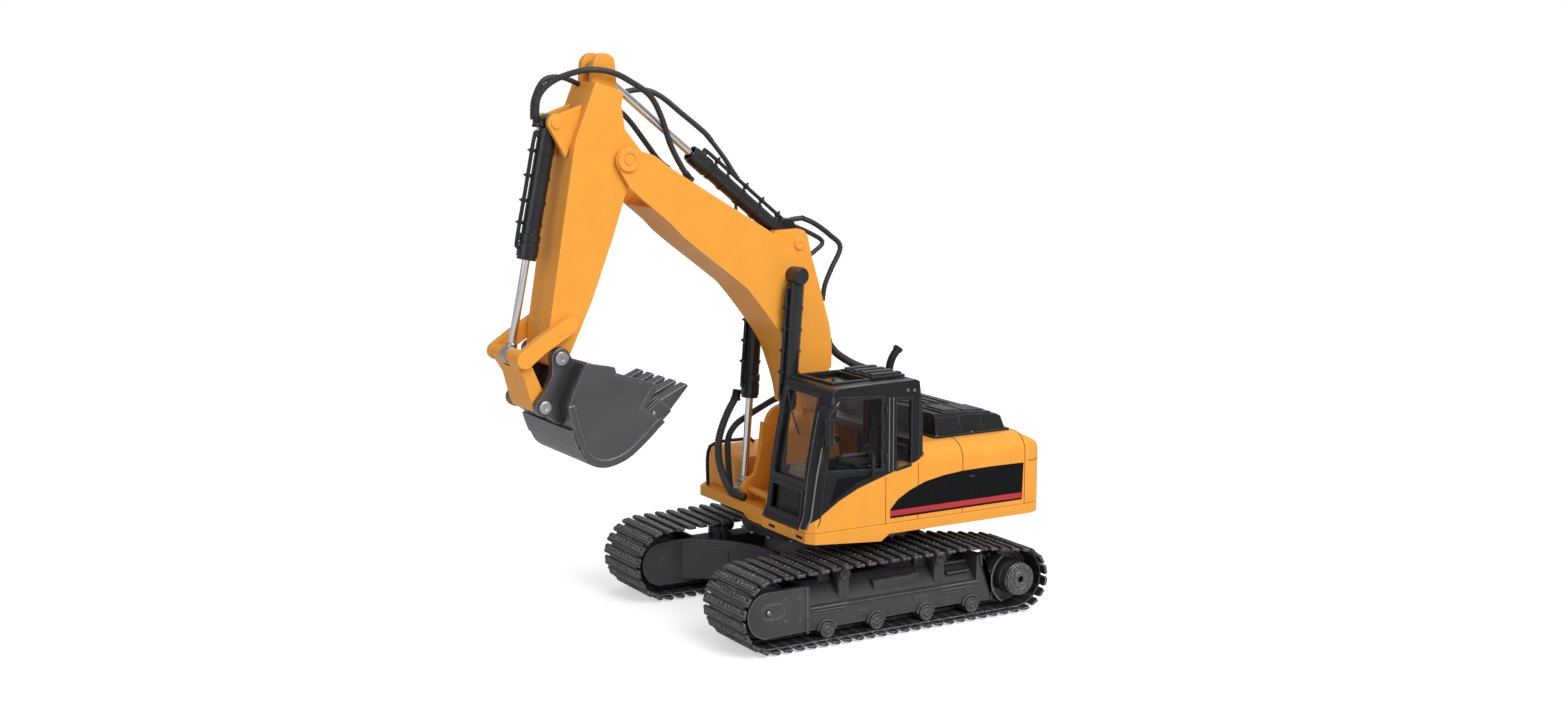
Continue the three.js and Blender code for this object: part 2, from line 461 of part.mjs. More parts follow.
// ---- stick --------------------------------------------------------------
const stickOutline = [
  [161.2, 157.4], [148.5, 184], [136.5, 215.2], [127.3, 242.1], [119, 250.6], [117.4, 258.4], [128.4, 272],
  [130.4, 283.9], [129, 291.4], [144.9, 296.6], [156.8, 267.5], [165.6, 216.7], [172.9, 172.7],
  ...arc(BUCKET_PIVOT, 5.6, 30, -160, 10),
];
const lug = (y) => prismY([[130.6, 290], [130.8, 300], ...arc([137.4, 304.6], 6.6, 150, 0, 8),
  [144.6, 294]], ...arm(y, y + 4.4));
const ear = (y) => prismY([[154, 272], [150, 285], ...arc(BUCKET_CYL_FOOT, 4.6, 110, -40, 8), [160, 258]],
  ...arm(y, y + 3.4));
piece("stick", cut(
  join(prismY(stickOutline, ...arm(-STICK_HALF, STICK_HALF)), lug(-9), lug(4.6), ear(-8.8), ear(5.4),
    cylY(STICK_CYL_ROD, 2, ...arm(-8, 8)), cylY(BUCKET_CYL_FOOT, 2, ...arm(-8, 8))),
  // sweep of the stick cylinder's rod below its eye
  prismY([[139, 299], [112, 262], [104, 300], [131, 302.5]], ...arm(-4.4, 4.4)),
  cylY(STICK_PIVOT, 2.6 + RUN, ...arm(-20, 20)), cylY(ROCKER_PIVOT, 2.2 + RUN, ...arm(-20, 20)),
  cylY(BUCKET_PIVOT, 2.3 + RUN, ...arm(-20, 20)),
), "yellow");

// ---- bucket linkage -----------------------------------------------------
const rockerSide = [
  ...arc(ROCKER_PIVOT, 4.4, 75, 255, 8), [178.6, 159], ...arc(ROCKER_END, 4.6, 240, 420, 8), [181, 167.6],
];
piece("rocker", join(
  prismY(rockerSide, ...arm(15.2, 20.8)), prismY(rockerSide, ...arm(-20.8, -15.2)),
  cylY(ROCKER_PIVOT, 2.2, ...arm(-16, 16)), cylY(ROCKER_END, 2.2, ...arm(-16, 16))), "yellow");
const linkSide = [...arc(ROCKER_END, 4.4, -10, 190, 10), ...arc(LINK_END, 4.4, 160, 340, 8), [188, 146]];
piece("bucket_link", cut(
  prismY(linkSide, ...arm(-14.6, 14.6)), cylY(ROCKER_END, 2.2 + RUN, ...arm(-20, 20)),
  cylY(ROCKER_END, 5.2, ...arm(-4.2, 4.2)), cylY(LINK_END, 3.3, ...arm(-20, 20)),
  prismY([[170, 154], [195, 150.5], [200, 175], [165, 175]], ...arm(-4.2, 4.2)),
), "yellow");

// ---- bucket -------------------------------------------------------------
const bucketOuter = [
  [161, 154.3], [144.8, 150.8], [143.9, 147.6], [126.2, 141.7], [119.6, 139.2], [128, 126.6],
    [116.6, 119.6],
  [129.4, 108.4], [139.2, 101.8], [145, 99.6], [150.7, 99], [156.4, 100.2], [162.1, 103.6], [165.7, 111.4],
    [171.4, 132.3], [168, 141],
];
const bucketInner = [
  [158, 160], [115, 143.5], [110, 134], [131.4, 110.6], [140.2, 104.4], [146, 102.1], [150.7, 101.5],
    [155.3, 102.6],
  [160, 105.2], [163.2, 112], [168.7, 132], [165.8, 139.6], [160, 151],
];
const tooth = [[119, 118.2], [126.6, 126], [103.4, 138.4], [100.8, 136.6], [112.5, 122.5]];
const bucketEar = (y) => prismY([
  ...arc(BUCKET_PIVOT, 5.4, 100, -20, 6), [175, 147], [178.8, 139.5], ...arc(LINK_END, 5, 40, -100, 8),
    [173, 122],
  [168, 121], [168.4, 131], [165.4, 140], [160, 150], ...arc(BUCKET_PIVOT, 5.4, 170, 110, 4),
], ...arm(y, y + 5));
const { right: BR, left: BL, shell: BS } = BUCKET;
const teeth = [0, 1, 2, 3, 4].map((i) => {
  const y = BR + 3 + ((BL - BR - 6 - 7.6) * i) / 4;
  return prismY(tooth, y, y + 7.6);
});
piece("bucket", cut(
  join(cut(prismY(bucketOuter, BR, BL), prismY(bucketInner, BR + BS, BL - BS)), teeth, bucketEar(15.2),
    bucketEar(-20.2)),
  cylY(BUCKET_PIVOT, 2.3 + GAP, ...arm(-30, 30)), cylY(LINK_END, 1.9 + GAP, ...arm(-30, 30)),
), "grey");
piece("bucket_pin", cylY(BUCKET_PIVOT, 2.3, ...arm(-20.8, 20.8)), "steel");
piece("link_pin", cylY(LINK_END, 1.9, ...arm(-20.8, 20.8)), "steel");

// ---- hoses --------------------------------------------------------------
piece("boom_hose", hose([[-3.2, -4, 150.4], [-7, -4, 144.8], [-12, -4, 140], [-22, -4, 134], [-34, -4, 129],
  [-42, -4, 124], [-45, -4, 118], [-45, -4, 113.3]], 2.4, 24), "hose");
piece("stick_hose_upper", hose([[172.2, -4, 276], [171.8, -2, 289], [164, 1, 297.6], [150, 7.6, 302.6],
  [136, 9.4, 301.6], [123, 8, 296], [111, 5, 288.6], [103, 2, 277], [97, 0, 263], [90, -1, 251],
    [85, -1, 244]], 1.4, 36), "hose");
piece("stick_hose_lower", hose([[126.6, -12, 283.4], [121.4, -12, 281], [114.7, -12, 274.9],
  [105.8, -12, 263.8],
  [98, -12, 254], [92, -12, 249.4]], 1.4, 18), "hose");
piece("gland_hose", hose([[125.4, -10, 288.6], [117, -10, 291], [107.5, -9.6, 291.6], [98.4, -8, 288.1],
  [86.2, -6.4, 278.5],
  [73.9, -5, 268.6], [69.4, -4.4, 263.4]], 1.3, 22), "hose");
piece("knee_hose", hose([[13, -3, 219.5], [5, -3, 216], [-5.7, -4, 209], [-12.6, -4, 201.8],
  [-6.8, -4, 190],
  [-2.5, -4, 180.8], [-1, -4, 172]], 1.3, 24), "hose");
piece("cylinder_hose", hose([[38.6, -33.6, 116], [44.6, -34, 106], [49.6, -34, 93], [50.4, -33, 81],
  [48.4, -30.4, 70],
  [47, -26, 64], [46.8, -20, 62.6], [44.6, -13.4, 61.8]], 1.8, 28), "hose");

export default root;
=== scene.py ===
"""The looks of a toy crawler excavator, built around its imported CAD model.

Lengths in this script are millimetres from the middle of the wheelbase: X forward, Y left, Z up from the
ground. at() turns them into the metres of the CAD frame, whose origin lies CENTRE_X further forward.
"""
import math

import bmesh
import bpy
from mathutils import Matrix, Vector


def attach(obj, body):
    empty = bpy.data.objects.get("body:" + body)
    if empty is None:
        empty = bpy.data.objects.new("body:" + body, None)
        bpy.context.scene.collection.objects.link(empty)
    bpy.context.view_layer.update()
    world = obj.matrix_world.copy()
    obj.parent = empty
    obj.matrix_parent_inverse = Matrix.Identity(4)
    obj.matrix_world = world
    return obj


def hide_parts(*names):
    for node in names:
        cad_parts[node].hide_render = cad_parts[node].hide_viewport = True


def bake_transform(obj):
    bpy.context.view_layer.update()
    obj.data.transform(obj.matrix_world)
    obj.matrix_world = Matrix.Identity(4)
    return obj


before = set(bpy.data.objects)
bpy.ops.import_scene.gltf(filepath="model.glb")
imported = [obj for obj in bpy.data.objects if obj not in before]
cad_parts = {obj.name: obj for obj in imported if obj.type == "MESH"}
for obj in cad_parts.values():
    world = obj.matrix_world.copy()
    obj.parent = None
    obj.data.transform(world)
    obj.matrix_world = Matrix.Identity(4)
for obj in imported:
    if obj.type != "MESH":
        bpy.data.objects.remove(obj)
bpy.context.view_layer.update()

MM = 0.001
CENTRE_X = 44.15


def at(x, y, z):
    return Vector(((x - CENTRE_X) * MM, y * MM, z * MM))


# ---- camera, floor and light --------------------------------------------
CAMERA_PLACE = (598.74, 965.36, 323.56)
CAMERA_AIM = Vector((-0.50323, -0.84922, -0.15997))
LENS_MM, SENSOR_MM = 46.7, 36
SKY_COLOUR = (0.97, 0.98, 1.0, 1)
WHITE = (1, 1, 1, 1)
WORLD_LIGHT = 0.46
SUN_AIM = Vector((0.16, -0.8, -0.85))
SUN_STRENGTH, SUN_WIDTH = 1.75, 50
LAMPS_AIM_AT = Vector((0, 0, 0.12))
LAMPS = [
    ("key_light", (-0.2, 1.3, 1.1), 0.8, 9),
    ("front_light", (1.4, 0.5, 0.6), 0.9, 2.6),
    ("back_light", (-0.9, -1.1, 1.3), 1.2, 6),
]
FLOOR_SIZE, FLOOR_DROP, FLOOR_GLOW = 6, 0.0004, 0.52


def aimed(direction):
    return direction.to_track_quat("-Z", "Y").to_euler()


def add_light(name, kind, direction, energy):
    light = bpy.data.objects.new(name, bpy.data.lights.new(name, kind))
    light.rotation_euler = aimed(direction)
    light.data.energy = energy
    bpy.context.scene.collection.objects.link(light)
    return light


def studio():
    scene = bpy.context.scene
    scene.view_settings.view_transform = "Standard"
    camera = bpy.data.objects.new("camera", bpy.data.cameras.new("camera"))
    camera.location = at(*CAMERA_PLACE)
    camera.rotation_euler = aimed(CAMERA_AIM)
    camera.data.lens = LENS_MM
    camera.data.sensor_width = SENSOR_MM
    camera.data.clip_start = 0.01
    scene.collection.objects.link(camera)
    scene.camera = camera

    world = bpy.data.worlds.new("studio")
    world.use_nodes = True
    scene.world = world
    tree = world.node_tree
    background = tree.nodes["Background"]
    background.inputs["Color"].default_value = SKY_COLOUR
    background.inputs["Strength"].default_value = WORLD_LIGHT
    backdrop = add(tree, "Background", Color=WHITE)
    path = add(tree, "LightPath")
    mix = add(tree, "MixShader")
    tree.links.new(path.outputs["Is Camera Ray"], mix.inputs[0])
    tree.links.new(background.outputs[0], mix.inputs[1])
    tree.links.new(backdrop.outputs[0], mix.inputs[2])
    tree.links.new(mix.outputs[0], tree.nodes["World Output"].inputs["Surface"])

    for name, place, size, power in LAMPS:
        lamp = add_light(name, "AREA", LAMPS_AIM_AT - Vector(place), power)
        lamp.location = place
        lamp.data.size = size
    add_light("sky_light", "SUN", SUN_AIM, SUN_STRENGTH).data.angle = math.radians(SUN_WIDTH)

    bm = bmesh.new()
    bmesh.ops.create_grid(bm, x_segments=8, y_segments=8, size=FLOOR_SIZE)
    floor = mesh_object("floor", bm, FLOOR)
    floor.location.z = -FLOOR_DROP
    # paper white in view, without that light falling on the object from below
    tree = FLOOR.node_tree
    glow = tree.nodes["Principled BSDF"]
    glow.inputs["Emission Color"].default_value = WHITE
    in_view = add(tree, "LightPath").outputs["Is Camera Ray"]
    tree.links.new(ranged(tree, in_view, 0, 1, 0, FLOOR_GLOW), glow.inputs["Emission Strength"])


# ---- materials ----------------------------------------------------------
BUMP_DEPTH, EDGE_WEAR_AND_HIGHLIGHT_WIDTH = 0.0003, 0.001
COAT_ROUGHNESS = 0.12


def add(tree, kind, **constants):
    """A new shader node with constants on its sockets."""
    node = tree.nodes.new("ShaderNode" + kind)
    for name, value in constants.items():
        node.inputs[name].default_value = value
    return node


def noise(tree, coords, scale, detail=3.0):
    node = add(tree, "TexNoise", Scale=scale, Detail=detail)
    tree.links.new(coords, node.inputs["Vector"])
    return node.outputs["Fac"]


def ranged(tree, value, low, high, to_low, to_high):
    node = add(tree, "MapRange")
    for socket, number in zip(node.inputs[1:5], (low, high, to_low, to_high)):
        socket.default_value = number
    tree.links.new(value, node.inputs[0])
    return node.outputs[0]


def times(tree, a, b):
    node = add(tree, "Math")
    node.operation = "MULTIPLY"
    tree.links.new(a, node.inputs[0])
    tree.links.new(b, node.inputs[1])
    return node.outputs[0]


def mixed(tree, factor, a, b):
    """Colour a turning into colour b with factor; each is a socket or three numbers."""
    node = add(tree, "Mix")
    node.data_type = "RGBA"
    tree.links.new(factor, node.inputs[0])
    for socket, colour in ((node.inputs[6], a), (node.inputs[7], b)):
        if isinstance(colour, bpy.types.NodeSocket):
            tree.links.new(colour, socket)
        else:
            socket.default_value = (*colour, 1)
    return node.outputs[2]


def finish(name, slot, colour, rough, spread, edge_wear_and_highlight=None, wear=0.6, metallic=0.0, coat=0.0,
           blotch=70, grain=1500, relief=0.06, stretch=(1, 1, 1), specular=0.5):
    """A moulded or painted surface: slow colour variation, grain in gloss and relief, and edges made lighter,
    partly as wear and partly as painted highlight.
    """
    material = bpy.data.materials.new(f"look_{name}")
    material["slot"] = slot
    material.use_nodes = True
    tree = material.node_tree
    shader = tree.nodes["Principled BSDF"]
    shader.inputs["Metallic"].default_value = metallic
    shader.inputs["Coat Weight"].default_value = coat
    shader.inputs["Coat Roughness"].default_value = COAT_ROUGHNESS
    shader.inputs["Specular IOR Level"].default_value = specular
    mapping = add(tree, "Mapping", Scale=stretch)
    tree.links.new(add(tree, "TexCoord").outputs["Object"], mapping.inputs["Vector"])
    coords = mapping.outputs[0]
    slow, fine = noise(tree, coords, blotch), noise(tree, coords, grain, 2)
    darker = [c * (1 - spread) for c in colour]
    lighter = [min(1, c * (1 + spread)) for c in colour]
    tint = mixed(tree, ranged(tree, slow, 0.3, 0.7, 0, 1), darker, lighter)
    gloss = ranged(tree, slow, 0.25, 0.75, *rough)
    # lighter colour on the edges, partly wear and partly painted highlight; wear sets how much
    if edge_wear_and_highlight:
        edge = add(tree, "Bevel", Radius=EDGE_WEAR_AND_HIGHLIGHT_WIDTH)
        edge.samples = 4
        geometry = add(tree, "NewGeometry")
        dot = add(tree, "VectorMath")
        dot.operation = "DOT_PRODUCT"
        tree.links.new(edge.outputs[0], dot.inputs[0])
        tree.links.new(geometry.outputs["True Normal"], dot.inputs[1])
        wear_and_highlight_mask = ranged(tree, dot.outputs["Value"], 0.985, 0.86, 0, wear)
        patchy = ranged(tree, noise(tree, coords, blotch * 6), 0.35, 0.6, 0.25, 1)
        tint = mixed(tree, times(tree, wear_and_highlight_mask, patchy), tint, edge_wear_and_highlight)
    tree.links.new(tint, shader.inputs["Base Color"])
    tree.links.new(gloss, shader.inputs["Roughness"])
    bump = add(tree, "Bump", Strength=relief, Distance=BUMP_DEPTH)
    tree.links.new(fine, bump.inputs["Height"])
    tree.links.new(bump.outputs[0], shader.inputs["Normal"])
    return material


def glass(name, tint, rough):
    material = finish(name, "clear_glazing", tint, (rough, rough + 0.04), spread=0.03, relief=0.01)
    shader = material.node_tree.nodes["Principled BSDF"]
    shader.inputs["Transmission Weight"].default_value = 1.0
    shader.inputs["IOR"].default_value = 1.18
    return material


YELLOW = finish("yellow_plastic", "yellow_body", (0.80, 0.33, 0.045), (0.34, 0.44), spread=0.03,
                edge_wear_and_highlight=(0.95, 0.5, 0.13), wear=0.6, coat=0.02, relief=0.04, specular=0.12)
BLACK = finish("black_plastic", "black_plastic", (0.011, 0.012, 0.014), (0.28, 0.4), spread=0.15,
               edge_wear_and_highlight=(0.12, 0.125, 0.13), wear=0.8, specular=0.2)
TRACK = finish("track_plastic", "track_plastic", (0.018, 0.018, 0.021), (0.34, 0.48), spread=0.2, specular=0.4,
               edge_wear_and_highlight=(0.34, 0.34, 0.35), wear=0.9, blotch=110, relief=0.1)
FRAME = finish("frame_plastic", "track_plastic", (0.05, 0.048, 0.053), (0.36, 0.5), spread=0.14, specular=0.4,
               edge_wear_and_highlight=(0.2, 0.2, 0.21), wear=0.8, blotch=90, relief=0.08)
STEEL_GREY = finish("bucket_metal", "bucket_grey", (0.1, 0.1, 0.108), (0.24, 0.36), spread=0.14, metallic=0.75,
                    edge_wear_and_highlight=(0.42, 0.42, 0.44), wear=0.8, blotch=60, relief=0.08, stretch=(1, 4, 1))
CHROME = finish("chrome", "chrome_rod", (0.72, 0.72, 0.74), (0.08, 0.2), spread=0.05, metallic=1.0,
                blotch=200, relief=0.03, stretch=(6, 6, 0.4))
PIN = finish("pin_steel", "pin_steel", (0.42, 0.42, 0.43), (0.25, 0.42), spread=0.1, metallic=1.0, relief=0.06)
HOSE = finish("hose_rubber", "hose_rubber", (0.014, 0.014, 0.015), (0.42, 0.6), spread=0.2, blotch=300,
              relief=0.15, edge_wear_and_highlight=(0.06, 0.06, 0.062), wear=0.5)
SEAT = finish("seat_fabric", "seat_fabric", (0.016, 0.016, 0.018), (0.75, 0.95), spread=0.3, blotch=500,
              grain=2600, relief=0.5)
# near-black: the print of the side decals, and painted shade in the slots and the door recess
DECAL_AND_SHADE = finish("black_decal_and_shade", "black_plastic", (0.006, 0.007, 0.008), (0.22, 0.32), spread=0.08, relief=0.02,
               specular=0.06)
RED = finish("red_stripe", "black_plastic", (0.42, 0.018, 0.025), (0.25, 0.35), spread=0.08, relief=0.02)
SEAM = finish("seam_shadow", "yellow_body", (0.25, 0.1, 0.015), (0.6, 0.8), spread=0.1)
GLOSS = finish("cylinder_paint", "black_plastic", (0.012, 0.013, 0.015), (0.18, 0.26), spread=0.1, relief=0.02)
HUB = finish("hub_metal", "track_plastic", (0.1, 0.1, 0.106), (0.26, 0.36), spread=0.12, metallic=0.6,
             edge_wear_and_highlight=(0.4, 0.4, 0.41), wear=0.8, blotch=120)
# light grey that paints highlights: lines along edges and ridges, and some bolt heads
HIGHLIGHT_GREY = finish("highlight_grey", "black_plastic", (0.15, 0.155, 0.16), (0.25, 0.4), spread=0.2, blotch=200)
CONSOLE = finish("cab_console", "black_plastic", (0.21, 0.16, 0.11), (0.4, 0.6), spread=0.1)
GLASS = glass("window_glass", (0.93, 0.9, 0.89), 0.02)
SMOKED = glass("smoked_glass", (0.5, 0.44, 0.36), 0.12)
FLOOR = finish("floor", "", (0.6, 0.6, 0.6), (0.8, 0.9), spread=0.01, blotch=3, grain=60, relief=0.01,
               specular=0.1)


# ---- mesh tools ---------------------------------------------------------
def mesh_object(name, bm, material):
    bmesh.ops.recalc_face_normals(bm, faces=bm.faces[:])
    mesh = bpy.data.meshes.new(name)
    for face in bm.faces:
        face.smooth = True
    bm.to_mesh(mesh)
    bm.free()
    mesh.materials.append(material)
    made = bpy.data.objects.new(name, mesh)
    bpy.context.scene.collection.objects.link(made)
    return made


def soften(piece, width, segments):
    """Rounds a hard piece's edges by width mm and shades its flats flat."""
    if width:
        edges = piece.modifiers.new("edges", "BEVEL")
        edges.width = width * MM
        edges.segments = segments
        edges.limit_method = "ANGLE"
        edges.angle_limit = math.radians(30)
    piece.modifiers.new("shading", "WEIGHTED_NORMAL").keep_sharp = True


def hard(name, bm, material, body, width, replaces=(), segments=2):
    """A finished hard piece that rides on a body."""
    piece = mesh_object(name, bm, material)
    soften(piece, width, segments)
    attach(piece, body)
    if replaces:
        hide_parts(*replaces)
    return piece


def smooth_faces():
    """A node group that turns smooth shading on, for CAD meshes, which stay as they are."""
    group = bpy.data.node_groups.new("smooth_faces", "GeometryNodeTree")
    group.interface.new_socket("Geometry", in_out="INPUT", socket_type="NodeSocketGeometry")
    group.interface.new_socket("Geometry", in_out="OUTPUT", socket_type="NodeSocketGeometry")
    start, end = group.nodes.new("NodeGroupInput"), group.nodes.new("NodeGroupOutput")
    shade = group.nodes.new("GeometryNodeSetShadeSmooth")
    group.links.new(start.outputs[0], shade.inputs["Geometry"])
    group.links.new(shade.outputs[0], end.inputs[0])
    return group


SMOOTH = smooth_faces()


def dress(node, material, width, segments=2):
    """Material, rounded edges and smooth shading for a CAD node that stays in view."""
    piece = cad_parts[node]
    piece.material_slots[0].material = material
    piece.modifiers.new("weld", "WELD").merge_threshold = 0.002 * MM
    flats = piece.modifiers.new("flats", "DECIMATE")
    flats.decimate_type = "DISSOLVE"
    flats.angle_limit = math.radians(1)
    piece.modifiers.new("smooth", "NODES").node_group = SMOOTH
    soften(piece, width, segments)


def prism(bm, axis, outline, low, high, holes=()):
    """A flat outline stretched along an axis: [x, z] along Y, [y, z] along X, [x, y] along Z."""
    along = "XYZ".index(axis)

    def corner(point):
        full = list(point)
        full.insert(along, low)
        return bm.verts.new(at(*full))

    rings = [[corner(p) for p in ring] for ring in (outline, *holes)]
    edges = [bm.edges.new((ring[i - 1], ring[i])) for ring in rings for i in range(len(ring))]
    if holes:
        filled = bmesh.ops.triangle_fill(bm, use_beauty=True, edges=edges)["geom"]
        faces = [f for f in filled if isinstance(f, bmesh.types.BMFace)]
    else:
        faces = [bm.faces.new(rings[0])]
    moved = bmesh.ops.extrude_face_region(bm, geom=faces)["geom"]
    step = Vector((0, 0, 0))
    step[along] = (high - low) * MM
    bmesh.ops.translate(bm, verts=[v for v in moved if isinstance(v, bmesh.types.BMVert)], vec=step)


def block(bm, x, y, z):
    """A box between two values of each of x, y and z."""
    prism(bm, "Y", [(x[0], z[0]), (x[1], z[0]), (x[1], z[1]), (x[0], z[1])], *y)


def skin(bm, rings):
    """Joins rings of equally many vertices into one closed surface."""
    for a, b in zip(rings, rings[1:]):
        for k in range(len(a)):
            j = (k + 1) % len(a)
            bm.faces.new([a[k], a[j], b[j], b[k]])
    bm.faces.new(rings[0])
    bm.faces.new(rings[-1])


def spokes(count):
    """Angles that share out a full turn."""
    return [2 * math.pi * k / count for k in range(count)]


def ring(bm, middle, u, v, radius, count):
    return [bm.verts.new(middle + (u * math.cos(t) + v * math.sin(t)) * radius * MM) for t in spokes(count)]


def turned(bm, centre, axis, profile, segments):
    """A turned shape about an axis through centre; profile is [(distance along, radius)]."""
    w = Vector(axis).normalized()
    u = w.orthogonal().normalized()
    v = w.cross(u)
    rings = [ring(bm, at(*centre) + w * distance * MM, u, v, radius, segments) for distance, radius in profile]
    skin(bm, rings)


def arc(centre, radius, start, end, steps):
    """Points of an arc in a plane, between two angles in degrees."""
    angles = [math.radians(start + (end - start) * i / steps) for i in range(steps + 1)]
    return [(centre[0] + radius * math.cos(a), centre[1] + radius * math.sin(a)) for a in angles]


def circle(centre, radius, steps=28):
    return arc(centre, radius, 0, 360 * (steps - 1) / steps, steps - 1)


def catmull(points, per_span):
    """A smooth curve through points, as tuples, with per_span steps between two of them."""
    padded = [points[0], *points, points[-1]]
    curve = []
    for i in range(1, len(padded) - 2):
        p0, p1, p2, p3 = (Vector(p) for p in padded[i - 1:i + 3])
        for k in range(per_span):
            t = k / per_span
            curve.append(tuple(0.5 * (2 * p1 + (p2 - p0) * t + (2 * p0 - 5 * p1 + 4 * p2 - p3) * t ** 2
                                      + (3 * p1 - p0 - 3 * p2 + p3) * t ** 3)))
    return [*curve, tuple(points[-1])]


def spaced(points, step):
    """The smooth curve through points, at places an equal distance of about step apart."""
    dense = [Vector(p) for p in catmull(points, 24)]
    run = [0.0]
    for a, b in zip(dense, dense[1:]):
        run.append(run[-1] + (b - a).length)
    count = max(2, round(run[-1] / step))
    places, i = [], 0
    for k in range(count + 1):
        goal = run[-1] * k / count
        while i < len(run) - 2 and run[i + 1] < goal:
            i += 1
        share = (goal - run[i]) / max(1e-9, run[i + 1] - run[i])
        places.append(dense[i].lerp(dense[i + 1], min(1, share)))
    return places


def tube(bm, points, radius, step, sides, ribs=0.0):
    """A round tube along a smooth curve; ribs is how much every other ring is narrower."""
    places = spaced(points, step)
    side = (places[1] - places[0]).normalized().orthogonal().normalized()
    rings = []
    for i, place in enumerate(places):
        ahead = places[min(i + 1, len(places) - 1)] - places[max(i - 1, 0)]
        direction = ahead.normalized()
        side = (side - direction * side.dot(direction)).normalized()
        rings.append(ring(bm, at(*place), side, direction.cross(side), radius * (1 - ribs * (i % 2)), sides))
    skin(bm, rings)


def straight(bm, a, b, radius):
    """A thin six-sided tube between two places."""
    tube(bm, [a, [(p + q) / 2 for p, q in zip(a, b)], b], radius, 6, 6)


def bolts(bm, places, axis, radius, height, sides=6):
    for place in places:
        turned(bm, place, axis, [(-0.1, radius), (height * 0.7, radius), (height, radius * 0.8)], sides)


def bolt_circle(centre, radius, count, y):
    """Places round a centre given as [x, z], at distance y."""
    return [(centre[0] + radius * math.cos(t), y, centre[1] + radius * math.sin(t)) for t in spokes(count)]


def upright(bm, sign, outline, near, far, holes=()):
    """A side outline between two distances from the middle, to the left or to the right by sign."""
    prism(bm, "Y", outline, sign * near, sign * far, holes)


# ---- driving places, as in the CAD model --------------------------------
SIDES = (("left", 1), ("right", -1))
WHEELBASE = 159.4
SHOES = 60
BELT_INNER, BELT_OUTER = 38.5, 82.5
CHAIN_Y = 60.5
IDLER = (WHEELBASE / 2, 21)
IDLER_WRAP = 21
SPROCKET = (-WHEELBASE / 2, 18.6)
SPROCKET_WRAP = 18.6
SPROCKET_TEETH = 13
ROLLERS = (44, 12.6, -20, -50.6)
ROLLER_Z = 6.7
CARRIERS = (30.5, -32)
CARRIER_Z = 34.8
ARM_Y = -4
FOOT = (10, 98)
STICK_PIVOT = (128.2, 256.2)
BOOM_CYL_HEAD = (28.8, 190.3)
BOOM_CYL_FOOT = (38.5, 65)
BOOM_CYL_Y = 21.3
STICK_CYL_FOOT = (20.5, 206.3)
STICK_CYL_ROD = (138, 303)
BUCKET_CYL_FOOT = (165, 276)
ROCKER_PIVOT = (164, 172.5)
ROCKER_END = (189.7, 156.3)
BUCKET_PIVOT = (169.7, 155.8)
LINK_END = (179.5, 131)
HOUSE_LEFT, HOUSE_RIGHT = 72, -70
HOUSE_REAR = -88


# ---- track belts --------------------------------------------------------
class Loop:
    """The outer line of a track belt, walked by distance."""

    def __init__(self):
        top = [(36, 43), (-45, 42.6), (-66, 39.6)]
        self.points = [*arc(IDLER, IDLER_WRAP, -90, 88, 40), *top,
                       *arc(SPROCKET, SPROCKET_WRAP, 96, 270, 40)]
        self.run = [0.0]
        for i, a in enumerate(self.points):
            self.run.append(self.run[-1] + math.dist(a, self.points[(i + 1) % len(self.points)]))
        self.total = self.run[-1]

    def place(self, distance):
        t = distance % self.total
        i = max(k for k, start in enumerate(self.run[:-1]) if start <= t)
        a, b = self.points[i], self.points[(i + 1) % len(self.points)]
        share = (t - self.run[i]) / (self.run[i + 1] - self.run[i])
        return Vector((a[0] + share * (b[0] - a[0]), a[1] + share * (b[1] - a[1])))

    def frame(self, distance):
        """Middle, forward and inward directions of the shoe at this distance."""
        forward = (self.place(distance + 1.5) - self.place(distance - 1.5)).normalized()
        return self.place(distance), forward, Vector((-forward.y, forward.x))


# A shoe's section, [share of the pitch, depth below the outer line]: a plate with one tall grouser.
SHOE = [(-0.4, 2.2), (-0.4, 1.2), (-0.36, 0.2), (-0.3, 0.0), (-0.1, 0.0), (-0.05, 0.7), (0.22, 0.7), (0.3, 1.0),
        (0.34, 1.6), (0.34, 2.2)]
WEB = [(-0.53, 2.6), (-0.53, 2.0), (0.53, 2.0), (0.53, 2.6)]
SHOE_TIP = 1.5


